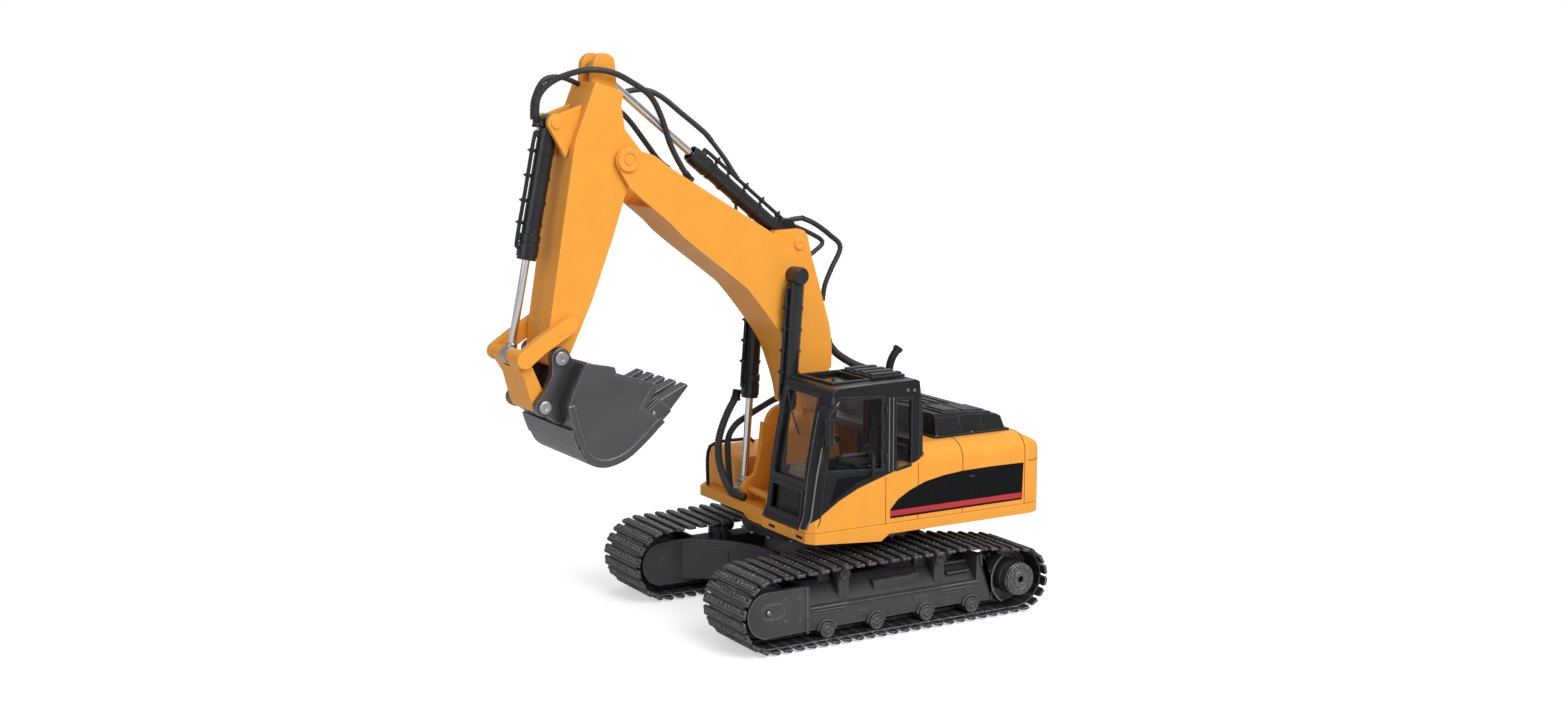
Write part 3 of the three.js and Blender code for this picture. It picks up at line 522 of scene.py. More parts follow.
def track_belt(side, sign):
    loop = Loop()
    pitch = loop.total / SHOES
    shoes, chain = bmesh.new(), bmesh.new()
    for i in range(SHOES):
        middle, forward, inward = loop.frame(i * pitch)

        def spot(share, depth, y):
            p = middle + forward * (share * pitch) + inward * depth
            return at(p.x, sign * y, p.y)

        stations = [(BELT_INNER, 0.78, 0.9), (BELT_INNER + SHOE_TIP, 1, 0), (BELT_OUTER - SHOE_TIP, 1, 0),
                    (BELT_OUTER, 0.78, 0.9)]
        rings = [[shoes.verts.new(spot(s * narrow, max(d, low), y)) for s, d in SHOE]
                 for y, narrow, low in stations]
        skin(shoes, rings)
        skin(chain, [[chain.verts.new(spot(s, d, y)) for s, d in WEB]
                     for y in (BELT_INNER + 5, BELT_OUTER - 5)])
        for y0, y1 in ((42.5, 51.5), (69.5, 78.5)):
            corners = [(0.0, 1.2), (0.02, 0.35), (0.14, 0.35), (0.16, 1.2)]
            skin(shoes, [[shoes.verts.new(spot(s, d, y)) for s, d in corners] for y in (y0, y1)])
        for offset in (-6.2, -2.4, 2.4, 6.2):
            p = middle + forward * (0.1 * pitch) + inward * 0.8
            turned(shoes, (p.x, sign * (CHAIN_Y + offset), p.y), (-inward.x, 0, -inward.y),
                   [(0, 0.85), (0.5, 0.8), (0.65, 0.5)], 6)
        for y0, y1 in ((57.2, 58.6), (62.4, 63.8)):
            corners = [(-0.44, 1.8), (-0.47, 2.9), (-0.4, 3.9), (0.4, 3.9), (0.47, 2.9), (0.44, 1.8)]
            skin(chain, [[chain.verts.new(spot(s, d, y)) for s, d in corners] for y in (y0, y1)])
        joint = middle + forward * (0.5 * pitch) + inward * 2.9
        turned(chain, (joint.x, sign * CHAIN_Y, joint.y), (0, 1, 0),
               [(-3.5, 0.7), (-3.3, 1.0), (3.3, 1.0), (3.5, 0.7)], 10)
    hard(f"belt_shoes_{side}", shoes, TRACK, "undercarriage", 0.18, replaces=[f"track_belt_{side}"], segments=1)
    hard(f"belt_chain_{side}", chain, TRACK, "undercarriage", 0.15, segments=1)


# ---- wheels -------------------------------------------------------------
def roller(kind, side, sign, number, x, z, profile, segments, bolted=False):
    bm = bmesh.new()
    turned(bm, (x, 0, z), (0, sign, 0), profile, segments)
    if bolted:
        bolts(bm, bolt_circle((x, z), 2.7, 6, sign * 75), (0, sign, 0), 0.5, 0.5)
    name = f"{kind}_{side}_{number}"
    hard(f"{name}_wheel", bm, FRAME, name, 0.12, replaces=[name], segments=1)


BOTTOM_ROLLER = [
    (48, 1.3), (51, 1.3), (51, 2.3), (53, 2.3), (53, 4.1), (53.4, 4.3), (56, 4.3), (56.4, 4.1), (56.4, 2.3),
    (64.6, 2.3), (64.6, 4.1), (65, 4.3), (67.6, 4.3), (68, 4.1), (68, 2.3), (70, 2.3), (70, 1.35),
    (73.3, 1.35), (73.3, 4.2), (73.6, 4.5), (75, 4.5), (75.4, 4.25), (75.4, 3.5), (75.0, 3.3), (75.0, 2.0),
    (75.5, 1.8), (75.6, 1.1), (75.2, 0.9)]
CARRIER_ROLLER = [
    (56, 1.3), (56.6, 1.3), (56.6, 3.2), (56.9, 3.4), (64, 3.4), (64.4, 3.2), (64.4, 1.35), (69.5, 1.35),
    (69.5, 3.2), (69.8, 3.4), (71, 3.4), (71.4, 3.1), (71.4, 2.3), (71.0, 2.1), (71.0, 1.2), (71.5, 1.0),
    (71.5, 0.5)]


def sprocket(side, sign):
    bm = bmesh.new()
    tooth = ((-0.34, 11.3), (-0.2, 13.0), (-0.08, 13.9), (0.08, 13.9), (0.2, 13.0), (0.34, 11.3))
    gear = []
    for i in range(SPROCKET_TEETH):
        for share, radius in tooth:
            a = (i + share) * 2 * math.pi / SPROCKET_TEETH
            gear.append((SPROCKET[0] + radius * math.cos(a), SPROCKET[1] + radius * math.sin(a)))
    upright(bm, sign, gear, 58, 63)
    upright(bm, sign, circle(SPROCKET, 14.2, 44), 63.2, 65.4, [circle(SPROCKET, 12.9, 44)])
    upright(bm, sign, circle(SPROCKET, 13.4, 44), 62.6, 64.2)
    turned(bm, (SPROCKET[0], 0, SPROCKET[1]), (0, sign, 0),
           [(48, 2.8), (52, 3), (52, 9.2), (52.4, 9.5), (73.5, 9.5), (74, 9.2), (74.3, 9.2), (74.3, 9.5),
            (78.6, 9.5), (79.4, 9.3), (79.4, 9.1), (80.6, 9.1), (81, 8.8), (81, 5.6), (80.5, 5.4), (80.5, 4.9),
            (81.2, 4.7), (81.4, 4.4), (81.4, 2.2), (81.1, 1.9), (75, 1.9)], 44)
    hard(f"final_drive_{side}", bm, HUB, f"sprocket_{side}", 0.18, replaces=[f"sprocket_{side}"])
    heads = bmesh.new()
    for count, radius, size in ((12, 7.1, 0.62), (8, 3.4, 0.45)):
        bolts(heads, bolt_circle(SPROCKET, radius, count, sign * 80.9), (0, sign, 0), size, 0.75)
    hard(f"final_drive_bolts_{side}", heads, TRACK, f"sprocket_{side}", 0.06, segments=1)


# ---- track frames -------------------------------------------------------
FRAME_WALL = 74
PLATE_Z = 19.5
FRAME_BLOCKS = [  # x, distance from the middle, z
    # the ledge along the top of the outer wall, and panels below it
    ((-56, 54), (72.6, 73.9), (18.9, 19.7)), ((-22, -13), (72.8, 73.5), (12.6, 16.6)),
    ((17, 24), (72.8, 73.3), (11.6, 14.4)),
    # the upright flange in front
    ((54.9, 56.5), (48, 74.3), (6.2, 31.6)),
    # the raised bar on the sloping shelf, with the strips beside it
    ((-15, 10.5), (63, 68.4), (22.6, 27.4)), ((-53, -38), (60, 66), (29.2, 30.6)),
    ((-53, -38), (62, 69), (24.4, 25.6)),
]


def slot_rim(bm, sign, x, z):
    """A raised rim round a narrow slot on the frame's outer wall."""
    def corners(dx, dz):
        (x0, x1), (z0, z1) = (x[0] + dx, x[1] - dx), (z[0] + dz, z[1] - dz)
        return [(x0, z0), (x1, z0), (x1, z1), (x0, z1)]

    upright(bm, sign, corners(0, 0), 72.8, 73.5, [corners(0.5, 0.45)])


def idler_oblong(radius):
    return [*arc((IDLER[0] + 0.6, IDLER[1]), radius, -90, 90, 12),
            *arc((IDLER[0] - 5.4, IDLER[1]), radius, 90, 270, 12)]


def frame_details(side, sign):
    bm = bmesh.new()
    for x, (near, far), z in FRAME_BLOCKS:
        block(bm, x, (sign * near, sign * far), z)
    slot_rim(bm, sign, (-49, -29), (15.2, 17.0))
    slot_rim(bm, sign, (32, 52), (15.6, 17.4))
    # roller housings and the stepped plate at the back
    for x in ROLLERS:
        shell = [*arc((x, ROLLER_Z), 6.0, 0, 180, 14), *arc((x, ROLLER_Z), 4.9, 180, 0, 14)]
        upright(bm, sign, shell, 72.6, 74.6)
    step = [(-56.0, 34.9), (-57.6, 34.9), (-58.6, 27.6), (-64.8, 21.8), (-65.6, 7.4), (-64.2, 7.4),
            (-63.6, 22.4), (-57.6, 28.3)]
    upright(bm, sign, step, 66, FRAME_WALL)
    for x in CARRIERS:
        block(bm, (x + 4.6, x + 11.5), (sign * 58, sign * 62), (30, 36.5))
        block(bm, (x - 2.8, x + 2.8), (sign * 64.6, sign * 69.8), (20, 34.6))
        turned(bm, (x, 0, CARRIER_Z), (0, sign, 0), [(64.9, 3.0), (65, 3.6), (69.2, 3.6), (69.3, 3.0)], 24)
    hard(f"frame_trim_{side}", bm, FRAME, "undercarriage", 0.25)

    # painted highlight lines along the ledges, the flanges and the rims
    lines = bmesh.new()
    y = sign * (FRAME_WALL - 0.25)
    for x0, x1, z in ((-55, -31, 19.75), (30, 53, 19.75), (-50, -30, 17.3), (33, 51, 17.7)):
        straight(lines, (x0, y, z), (x1, y, z), 0.22)
    y = sign * (FRAME_WALL + 0.1)
    for x, z0, z1 in ((56.4, 7, 31.2), (-57.2, 29, 34.6)):
        straight(lines, (x, y, z0), (x, y, z1), 0.25)
    tube(lines, [(x, sign * FRAME_WALL, z) for x, z in arc(SPROCKET, 15.3, -60, 60, 12)], 0.3, 2, 6)
    tube(lines, [(x, sign * 73.5, z) for x, z in arc((IDLER[0], PLATE_Z), 12.5, -88, 88, 14)], 0.25, 2, 6)
    hard(f"frame_edges_{side}", lines, HIGHLIGHT_GREY, "undercarriage", 0)

    # the half-round plate over the idler, its boss and screws
    plate = bmesh.new()
    outline = [*arc((IDLER[0], PLATE_Z), 12.6, -90, 90, 24), (56.4, PLATE_Z + 12), (56.4, PLATE_Z - 12)]
    upright(plate, sign, outline, 72.8, 73.6, [circle(IDLER, 2.0)])
    upright(plate, sign, idler_oblong(4.4), 73.2, 74.1, [idler_oblong(3.7)])
    bolts(plate, [(x, sign * 73.5, z) for x in (60.5, 69.5) for z in (14.6, 26.4)], (0, sign, 0), 0.85, 0.6, 8)
    hard(f"idler_plate_{side}", plate, FRAME, "undercarriage", 0.2)
    axle = bmesh.new()
    turned(axle, (IDLER[0], 0, IDLER[1]), (0, sign, 0), [(72.9, 1.5), (74.0, 1.5), (74.4, 1.1), (74.5, 0.4)],
           20)
    hard(f"idler_axle_end_{side}", axle, PIN, f"idler_{side}", 0)

    # arc guard, outer lip and ears of the final drive
    guard = bmesh.new()
    upright(guard, sign, [*arc(SPROCKET, 14.6, 50, 250, 26), *arc(SPROCKET, 13.7, 250, 50, 26)], 63.6, 66.2)
    upright(guard, sign, [*arc(SPROCKET, 15.3, -62, 62, 20), *arc(SPROCKET, 14.3, 62, -62, 20)], 66, FRAME_WALL)
    for x, z in ((-68.2, 31.4), (-64.6, 30.2), (-66.4, 5.4)):
        turned(guard, (x, 0, z), (0, sign, 0), [(63.6, 1.4), (66.6, 1.4), (66.9, 1.0)], 12)
    hard(f"sprocket_guard_{side}", guard, FRAME, "undercarriage", 0.2)


# ---- running the undercarriage ------------------------------------------
def undercarriage():
    for side, sign in SIDES:
        track_belt(side, sign)
        frame_details(side, sign)
        sprocket(side, sign)
        for number, x in enumerate(ROLLERS, 1):
            roller("bottom_roller", side, sign, number, x, ROLLER_Z, BOTTOM_ROLLER, 28, bolted=True)
        for number, x in enumerate(CARRIERS, 1):
            roller("carrier_roller", side, sign, number, x, CARRIER_Z, CARRIER_ROLLER, 24)
        dress(f"track_frame_{side}", FRAME, 0.5)
        dress(f"idler_{side}", FRAME, 0.4)
    dress("center_frame", FRAME, 1.2, 3)
    dress("slew_ring", BLACK, 0.6)


undercarriage()


# ---- hydraulic cylinders ------------------------------------------------
PIPE_RADIUS = 1.05


def side_pipe(bm, centre, u, offset, reach):
    """A pipe beside a barrel, offset from its axis, bent into it near both ends."""
    bends = [(6, 0.3), (6.6, 0.8), (8.4, 1)]
    spots = [*bends, (reach * 0.5, 1), *((reach - s, share) for s, share in reversed(bends))]
    tube(bm, [Vector(centre) + u * s + offset * share for s, share in spots], PIPE_RADIUS, 0.8, 10)


def barrel(name, start, end, y, reach, radius, bore, eye, half, pin, offset, clips):
    """A cylinder's barrel from its eye at start, open towards end, with its pipe and clips."""
    bm = bmesh.new()
    u = Vector((end[0] - start[0], 0, end[1] - start[1])).normalized()
    centre = (start[0], y, start[1])
    turned(bm, centre, u, [
        (3, radius * 0.7), (3.4, radius), (reach - 13.6, radius), (reach - 13.2, radius + 0.7),
        (reach - 9.6, radius + 0.7), (reach - 9.3, radius + 0.25), (reach - 8.4, radius + 0.25),
        (reach - 8.1, radius + 0.7), (reach - 1.8, radius + 0.7), (reach - 1.4, radius + 0.2),
        (reach, radius + 0.2), (reach, bore), (9, bore)], 32)
    prism(bm, "Y", circle(start, eye), y - half, y + half, [circle(start, pin, 20)])
    shift = Vector((offset[0], 0, offset[1]))
    side_pipe(bm, centre, u, shift, reach)
    for s in (7, reach - 7):
        along = Vector(centre) + u * s
        turned(bm, along, shift, [(radius - 1, 1.7), (radius + 1.3, 1.7), (radius + 1.7, 1.2)], 8)
    for share in clips:
        s = reach * share
        turned(bm, centre, u, [(s - 0.9, radius - 0.5), (s - 0.9, radius + 0.5), (s + 0.9, radius + 0.5),
                               (s + 0.9, radius - 0.5)], 24)
        along = Vector(centre) + u * s
        turned(bm, along, shift, [(radius - 0.5, 0.8), (shift.length, 0.8)], 8)
        turned(bm, along + shift, u, [(-1, 1.2), (-0.8, 1.6), (0.8, 1.6), (1, 1.2)], 10)
        turned(bm, along + shift, shift, [(1.2, 0.6), (2.3, 0.6), (2.5, 0.4)], 6)
    hard(f"{name}_tube", bm, GLOSS, name, 0.2, replaces=[name])


def rod(name, eye_at, end, y, long, radius, eye, half, pin):
    """A chromed rod and its eye."""
    bm = bmesh.new()
    u = Vector((end[0] - eye_at[0], 0, end[1] - eye_at[1])).normalized()
    centre = (eye_at[0], y, eye_at[1])
    turned(bm, centre, u, [(eye - 0.6, radius), (long - 0.4, radius), (long, radius - 0.3)], 28)
    hard(f"{name}_bar", bm, CHROME, name, 0, replaces=[name])
    knuckle = bmesh.new()
    prism(knuckle, "Y", circle(eye_at, eye), y - half, y + half, [circle(eye_at, pin, 20)])
    turned(knuckle, centre, u, [(eye - 0.8, radius + 0.9), (eye + 1.6, radius + 0.9),
                                (eye + 2.0, radius + 0.4)], 24)
    hard(f"{name}_eye", knuckle, PIN, name, 0.25)


def cylinders():
    for side, sign in SIDES:
        y = ARM_Y + sign * BOOM_CYL_Y
        barrel(f"boom_cylinder_barrel_{side}", BOOM_CYL_HEAD, BOOM_CYL_FOOT, y, 74, 4.5, 3.5, 4.8, 4.4, 2.6,
               (5.6, 0.6), (0.24, 0.4, 0.56, 0.72))
        rod(f"boom_cylinder_rod_{side}", BOOM_CYL_FOOT, BOOM_CYL_HEAD, y, 100, 2.1, 4.2, 3.6, 2.2)
        cap = bmesh.new()
        turned(cap, (BOOM_CYL_HEAD[0], y, BOOM_CYL_HEAD[1]), (0, sign, 0),
               [(-4.6, 3.6), (-4.6, 5.0), (4.6, 5.0), (5.4, 4.4), (5.6, 3.2)], 30)
        hard(f"boom_cylinder_head_{side}", cap, GLOSS, f"boom_cylinder_barrel_{side}", 0.3)
    barrel("stick_cylinder_barrel", STICK_CYL_FOOT, STICK_CYL_ROD, ARM_Y, 81, 4.4, 3.8, 4.6, 4.8, 2.4,
           (-4.4, 5.4), (0.2, 0.36, 0.52, 0.68, 0.8))
    rod("stick_cylinder_rod", STICK_CYL_ROD, STICK_CYL_FOOT, ARM_Y, 124, 2.1, 4.4, 3.8, 2.2)
    barrel("bucket_cylinder_barrel", BUCKET_CYL_FOOT, ROCKER_END, ARM_Y, 72, 4.9, 3.8, 4.4, 4.6, 2.2,
           (6.8, 1.4), (0.22, 0.4, 0.58, 0.74))
    rod("bucket_cylinder_rod", ROCKER_END, BUCKET_CYL_FOOT, ARM_Y, 88, 2.1, 4.6, 3.6, 2.4)


cylinders()


# ---- boom ---------------------------------------------------------------
def slab(bm, outline, near, far, holes=()):
    """A side outline between two distances from the arm's centre plane, on both of its sides."""
    for s in (1, -1):
        prism(bm, "Y", outline, ARM_Y + s * near, ARM_Y + s * far, holes)


def middle(bm, outline, half, holes=()):
    prism(bm, "Y", outline, ARM_Y - half, ARM_Y + half, holes)


def boss(bm, pivot, profile, segments):
    """A turned shape about a pivot, on both sides of the arm; distances are from the arm's centre plane."""
    for s in (1, -1):
        turned(bm, (pivot[0], ARM_Y, pivot[1]), (0, s, 0), profile, segments)


UNDERSIDE = [(114.3, 230.5), (103.8, 221.9), (93.2, 211.9), (62.2, 188.2), (54.3, 180.7), (39.8, 162.6),
             (30.7, 148.9), (23.1, 128.2), (20.4, 114.6)]
BACK = [(2.7, 116.2), (4.9, 137.6), (4.7, 153.5), (8.6, 172), (25.2, 198.6), (31.7, 207.3), (49.4, 218.7),
        (77.7, 235.7), (103.6, 251.5), (112.5, 257.8), (119.9, 260.4)]
CORE_BACK = [*BACK[:-3], (101.2, 250)]
SLOT_BACK = [*BACK[:4], (24.5, 195), (31, 202), (48, 211), (59.5, 221.8), (78.6, 235.2), (101.2, 250)]


def around(pivot, a, b):
    """The inner points of an arc about a pivot from point a to point b, the short way round."""
    start = math.degrees(math.atan2(a[1] - pivot[1], a[0] - pivot[0]))
    end = math.degrees(math.atan2(b[1] - pivot[1], b[0] - pivot[0]))
    turn = (end - start + 180) % 360 - 180
    return arc(pivot, math.dist(pivot, a), start, start + turn, 10)[1:-1]


def boom_core(back):
    return [*catmull(UNDERSIDE, 4), *around(FOOT, UNDERSIDE[-1], BACK[0]), *catmull(back, 4),
            *around(STICK_PIVOT, back[-1], UNDERSIDE[0])]


def boom():
    bm = bmesh.new()
    plate = [*arc(STICK_PIVOT, 6.8, 130, -40, 14), (127.6, 241.7), *catmull(UNDERSIDE, 4),
             *around(FOOT, UNDERSIDE[-1], BACK[0]), *catmull(BACK, 4)]
    slab(bm, plate, 14.7, 17, [circle(STICK_PIVOT, 2.9, 24), circle(BOOM_CYL_HEAD, 2.7, 20)])
    slab(bm, boom_core(CORE_BACK), 5.4, 14.8)
    middle(bm, boom_core(SLOT_BACK), 5.5)
    foot = [*arc(FOOT, 9.2, 20, -200, 24), (3.0, 118), (20.2, 118)]
    middle(bm, foot, 12.9, [circle(FOOT, 3.3, 28)])
    slab(bm, circle(FOOT, 6.4), 12.8, 13.3, [circle(FOOT, 3.3)])
    # raised spine behind the knee, with the two ears of the stick cylinder
    inner = [(8, 132), (12, 165), (28, 196)]
    outer = [(12.5, 198.7), (9.6, 189.4), (3.2, 168), (0.7, 159), (-0.7, 147.6), (-0.5, 135.3)]
    ear = [*inner, (37.9, 210.8), (36, 214.2), *arc((21.4, 208), 6.6, 90, 160, 6), *catmull(outer, 4)]
    slab(bm, ear, 5.5, 10.5, [circle(STICK_CYL_FOOT, 2.3, 20)])
    low = [*inner[:2], (24, 192.6), (19, 197), (14, 198), *catmull(outer[1:], 4)]
    middle(bm, low, 5.6)
    boss(bm, STICK_CYL_FOOT, [(10.2, 3.4), (11.2, 3.4), (11.5, 2.9), (11.5, 1.4), (11.1, 1.2)], 24)
    boss(bm, STICK_PIVOT, [(16.8, 6.2), (18.0, 6.2), (18.4, 5.8), (18.4, 3.8), (17.8, 3.6), (17.8, 2.9)], 32)
    boss(bm, BOOM_CYL_HEAD, [(16.8, 5.2), (17.2, 5.2), (17.4, 4.6)], 28)
    hard("boom_shell", bm, YELLOW, "boom", 0.55, replaces=["boom"])
    pins = bmesh.new()
    turned(pins, (STICK_CYL_FOOT[0], ARM_Y, STICK_CYL_FOOT[1]), (0, 1, 0),
           [(-11, 1.9), (-10.8, 2.2), (10.8, 2.2), (11, 1.9)], 20)
    hard("stick_cylinder_pin", pins, PIN, "boom", 0)


# ---- stick --------------------------------------------------------------
def stick():
    bm = bmesh.new()
    plate = [(161.2, 157.4), (148.5, 184), (136.5, 215.2), (127.3, 242.1), (119, 250.6), (117.4, 258.4),
             (128.4, 272), (130.4, 283.9), (129, 291.4), (144.9, 296.6), (156.8, 267.5), (165.6, 216.7),
             (172.9, 172.7), *arc(BUCKET_PIVOT, 5.6, 30, -160, 20)]
    holes = [circle(STICK_PIVOT, 2.8, 24), circle(ROCKER_PIVOT, 2.4, 20), circle(BUCKET_PIVOT, 2.5, 20)]
    slab(bm, plate, 12.4, 14, holes)
    slab(bm, plate, 4.3, 12.5, holes)
    middle(bm, [*plate[:7], (131.9, 284), (135, 292), *plate[9:]], 4.4, holes)
    lug = [(130.6, 290), (130.8, 300), *arc((137.4, 304.6), 6.6, 150, 0, 12), (144.6, 294)]
    slab(bm, lug, 4.6, 9, [circle(STICK_CYL_ROD, 1.9, 18)])
    ear = [(154, 272), (150, 285), *arc(BUCKET_CYL_FOOT, 4.6, 110, -40, 12), (160, 258)]
    slab(bm, ear, 5.4, 8.8, [circle(BUCKET_CYL_FOOT, 1.9, 18)])
    boss(bm, BUCKET_CYL_FOOT, [(8.6, 3.2), (9.4, 3.2), (9.7, 2.7)], 24)
    boss(bm, BUCKET_PIVOT, [(13.8, 4.6), (14.5, 4.6), (14.7, 4.2)], 28)
    hard("stick_shell", bm, YELLOW, "stick", 0.6, replaces=["stick"])
    pins = bmesh.new()
    for pivot, half in ((STICK_CYL_ROD, 9.2), (BUCKET_CYL_FOOT, 9.9)):
        turned(pins, (pivot[0], ARM_Y, pivot[1]), (0, 1, 0),
               [(-half, 1.6), (0.3 - half, 1.85), (half - 0.3, 1.85), (half, 1.6)], 20)
    hard("stick_ear_pins", pins, YELLOW, "stick", 0)


boom()
stick()


# ---- bucket -------------------------------------------------------------
BUCKET_RIGHT, BUCKET_LEFT = -36, 28
TOOTH = 10
BELLY = [(116.6, 119.6), (129.4, 108.4), (139.2, 101.8), (150.7, 99), (160.5, 102.4), (165.7, 111.4),
         (169.2, 122), (171.4, 132.3)]
SIDE_TOP = [(168, 141), (161, 154.3), (144.8, 150.8), (143.9, 147.6), (126.2, 141.7), (119.6, 139.2),
            (128, 126.6)]


def offset_line(points, distance):
    """The same open line moved sideways by distance, to its left."""
    moved = []
    for i, p in enumerate(points):
        a, b = Vector(points[max(i - 1, 0)]), Vector(points[min(i + 1, len(points) - 1)])
        d = (b - a).normalized()
        moved.append((p[0] - d.y * distance, p[1] + d.x * distance))
    return moved


def bucket():
    belly = catmull(BELLY, 5)
    walls = bmesh.new()
    for y0, y1 in ((BUCKET_RIGHT, BUCKET_RIGHT + 2.2), (BUCKET_LEFT - 2.2, BUCKET_LEFT)):
        prism(walls, "Y", [*belly, *SIDE_TOP], y0, y1)
    for y0, y1 in ((BUCKET_RIGHT - 0.5, BUCKET_RIGHT + 0.3), (BUCKET_LEFT - 0.3, BUCKET_LEFT + 0.5)):
        band = offset_line(belly, 3.4)
        prism(walls, "Y", [*belly, *reversed(band)], y0, y1)
        rim = [(119.6, 139.2), (126.2, 141.7), (143.9, 147.6), (144.8, 146.2), (127.2, 140.2), (121.4, 137.6)]
        prism(walls, "Y", rim, y0, y1)
        cutter = [(120.5, 137.6), (128.6, 126.2), (131, 127.6), (123.6, 138.8)]
        prism(walls, "Y", cutter, y0, y1)
    hard("bucket_sides", walls, STEEL_GREY, "bucket", 0.45, replaces=["bucket"])
    shell = bmesh.new()
    outside = [*belly, (168, 141), (161.4, 153.6)]
    inside = offset_line(outside, 2.4)
    prism(shell, "Y", [*outside, *reversed(inside)], BUCKET_RIGHT + 2, BUCKET_LEFT - 2)
    lip = [(115.4, 118.9), (117.2, 117.4), (131.6, 105.8), (133, 108.2), (118.4, 121)]
    prism(shell, "Y", lip, BUCKET_RIGHT + 1, BUCKET_LEFT - 1)
    wear = belly[2:26]
    prism(shell, "Y", [*offset_line(wear, -0.9), *reversed(wear)], BUCKET_RIGHT + 0.4, BUCKET_LEFT - 0.4)
    edge = belly[24:30]
    prism(shell, "Y", [*offset_line(edge, -1.6), *reversed(edge)], BUCKET_RIGHT + 0.4, BUCKET_LEFT - 0.4)
    hard("bucket_shell", shell, STEEL_GREY, "bucket", 0.35)
    teeth, heads = bmesh.new(), bmesh.new()
    reach = BUCKET_LEFT - BUCKET_RIGHT - 2 - TOOTH
    for i in range(5):
        y = BUCKET_RIGHT + 1 + reach * i / 4
        adapter = [(119.6, 117.4), (127, 125.2), (118.4, 131.2), (111.6, 124.4)]
        prism(teeth, "Y", adapter, y, y + TOOTH)
        for ridge in (0.8, 4.2, 7.6):
            strip = [(126.4, 125.6), (118.6, 131.2), (119.0, 131.9), (126.9, 126.3)]
            prism(teeth, "Y", strip, y + ridge, y + ridge + 1.5)
        section = [(118.0, 131.0), (101.8, 138.0), (100.8, 136.6), (112.2, 124.8)]
        rings = [[teeth.verts.new(at(x, y + side, z)) for x, z in section] for side in (0.4, TOOTH - 0.4)]
        for end, squeeze in zip(rings, (1.1, -1.1)):
            for vertex in end[1:3]:
                vertex.co.y += squeeze * MM
        skin(teeth, rings)
        bolts(heads, [(122.2, y - 0.1, 124.2)], (0, -1, 0), 1.2, 0.6)
        bolts(heads, [(122.2, y + TOOTH + 0.1, 124.2)], (0, 1, 0), 1.2, 0.6)
    hard("bucket_teeth", teeth, STEEL_GREY, "bucket", 0.3)
    hard("bucket_tooth_bolts", heads, PIN, "bucket", 0.08, segments=1)
    ears = bmesh.new()
    ear = [*arc(BUCKET_PIVOT, 5.4, 100, -20, 10), (175, 147), (178.8, 139.5), *arc(LINK_END, 5, 40, -100, 12),
           (173, 122), (168, 121), (168.4, 131), (165.4, 140), (160, 150), *arc(BUCKET_PIVOT, 5.4, 170, 110, 6)]
    slab(ears, ear, 15.2, 20.2, [circle(BUCKET_PIVOT, 2.6, 20), circle(LINK_END, 2.2, 20)])
    hard("bucket_ears", ears, STEEL_GREY, "bucket", 0.5)
    for name, pivot, radius in (("bucket_pin", BUCKET_PIVOT, 2.3), ("link_pin", LINK_END, 1.9)):
        bm = bmesh.new()
        boss(bm, pivot, [(20.3, radius), (20.3, radius + 1.6), (21.6, radius + 1.6), (22.1, radius + 1.1),
                         (22.1, 1.2), (21.8, 1.0)], 28)
        hard(f"{name}_heads", bm, PIN, "bucket", 0.1, segments=1)


bucket()


# ---- hoses --------------------------------------------------------------
HOSE_RIBS = 0.16


def hose(name, points, radius, body, node=None, other=None):
    """A ribbed hose that rides on a body, or, given the other body, one that is left unattached where it lies.
    """
    bm = bmesh.new()
    tube(bm, points, radius, 0.8, 12, HOSE_RIBS)
    if not other:
        hard(name, bm, HOSE, body, 0, replaces=[node] if node else ())
        return
    piece = mesh_object(name, bm, HOSE)
    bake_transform(piece)
    if node:
        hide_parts(node)


def fitting(name, place, toward, radius, body):
    """The crimped collar at a hose's end."""
    bm = bmesh.new()
    turned(bm, place, toward, [(-1.6, radius + 0.9), (-0.2, radius + 0.9), (0.1, radius + 0.5),
                               (4.2, radius + 0.5), (4.6, radius + 0.2)], 14)
    hard(name, bm, BLACK, body, 0.15, segments=1)


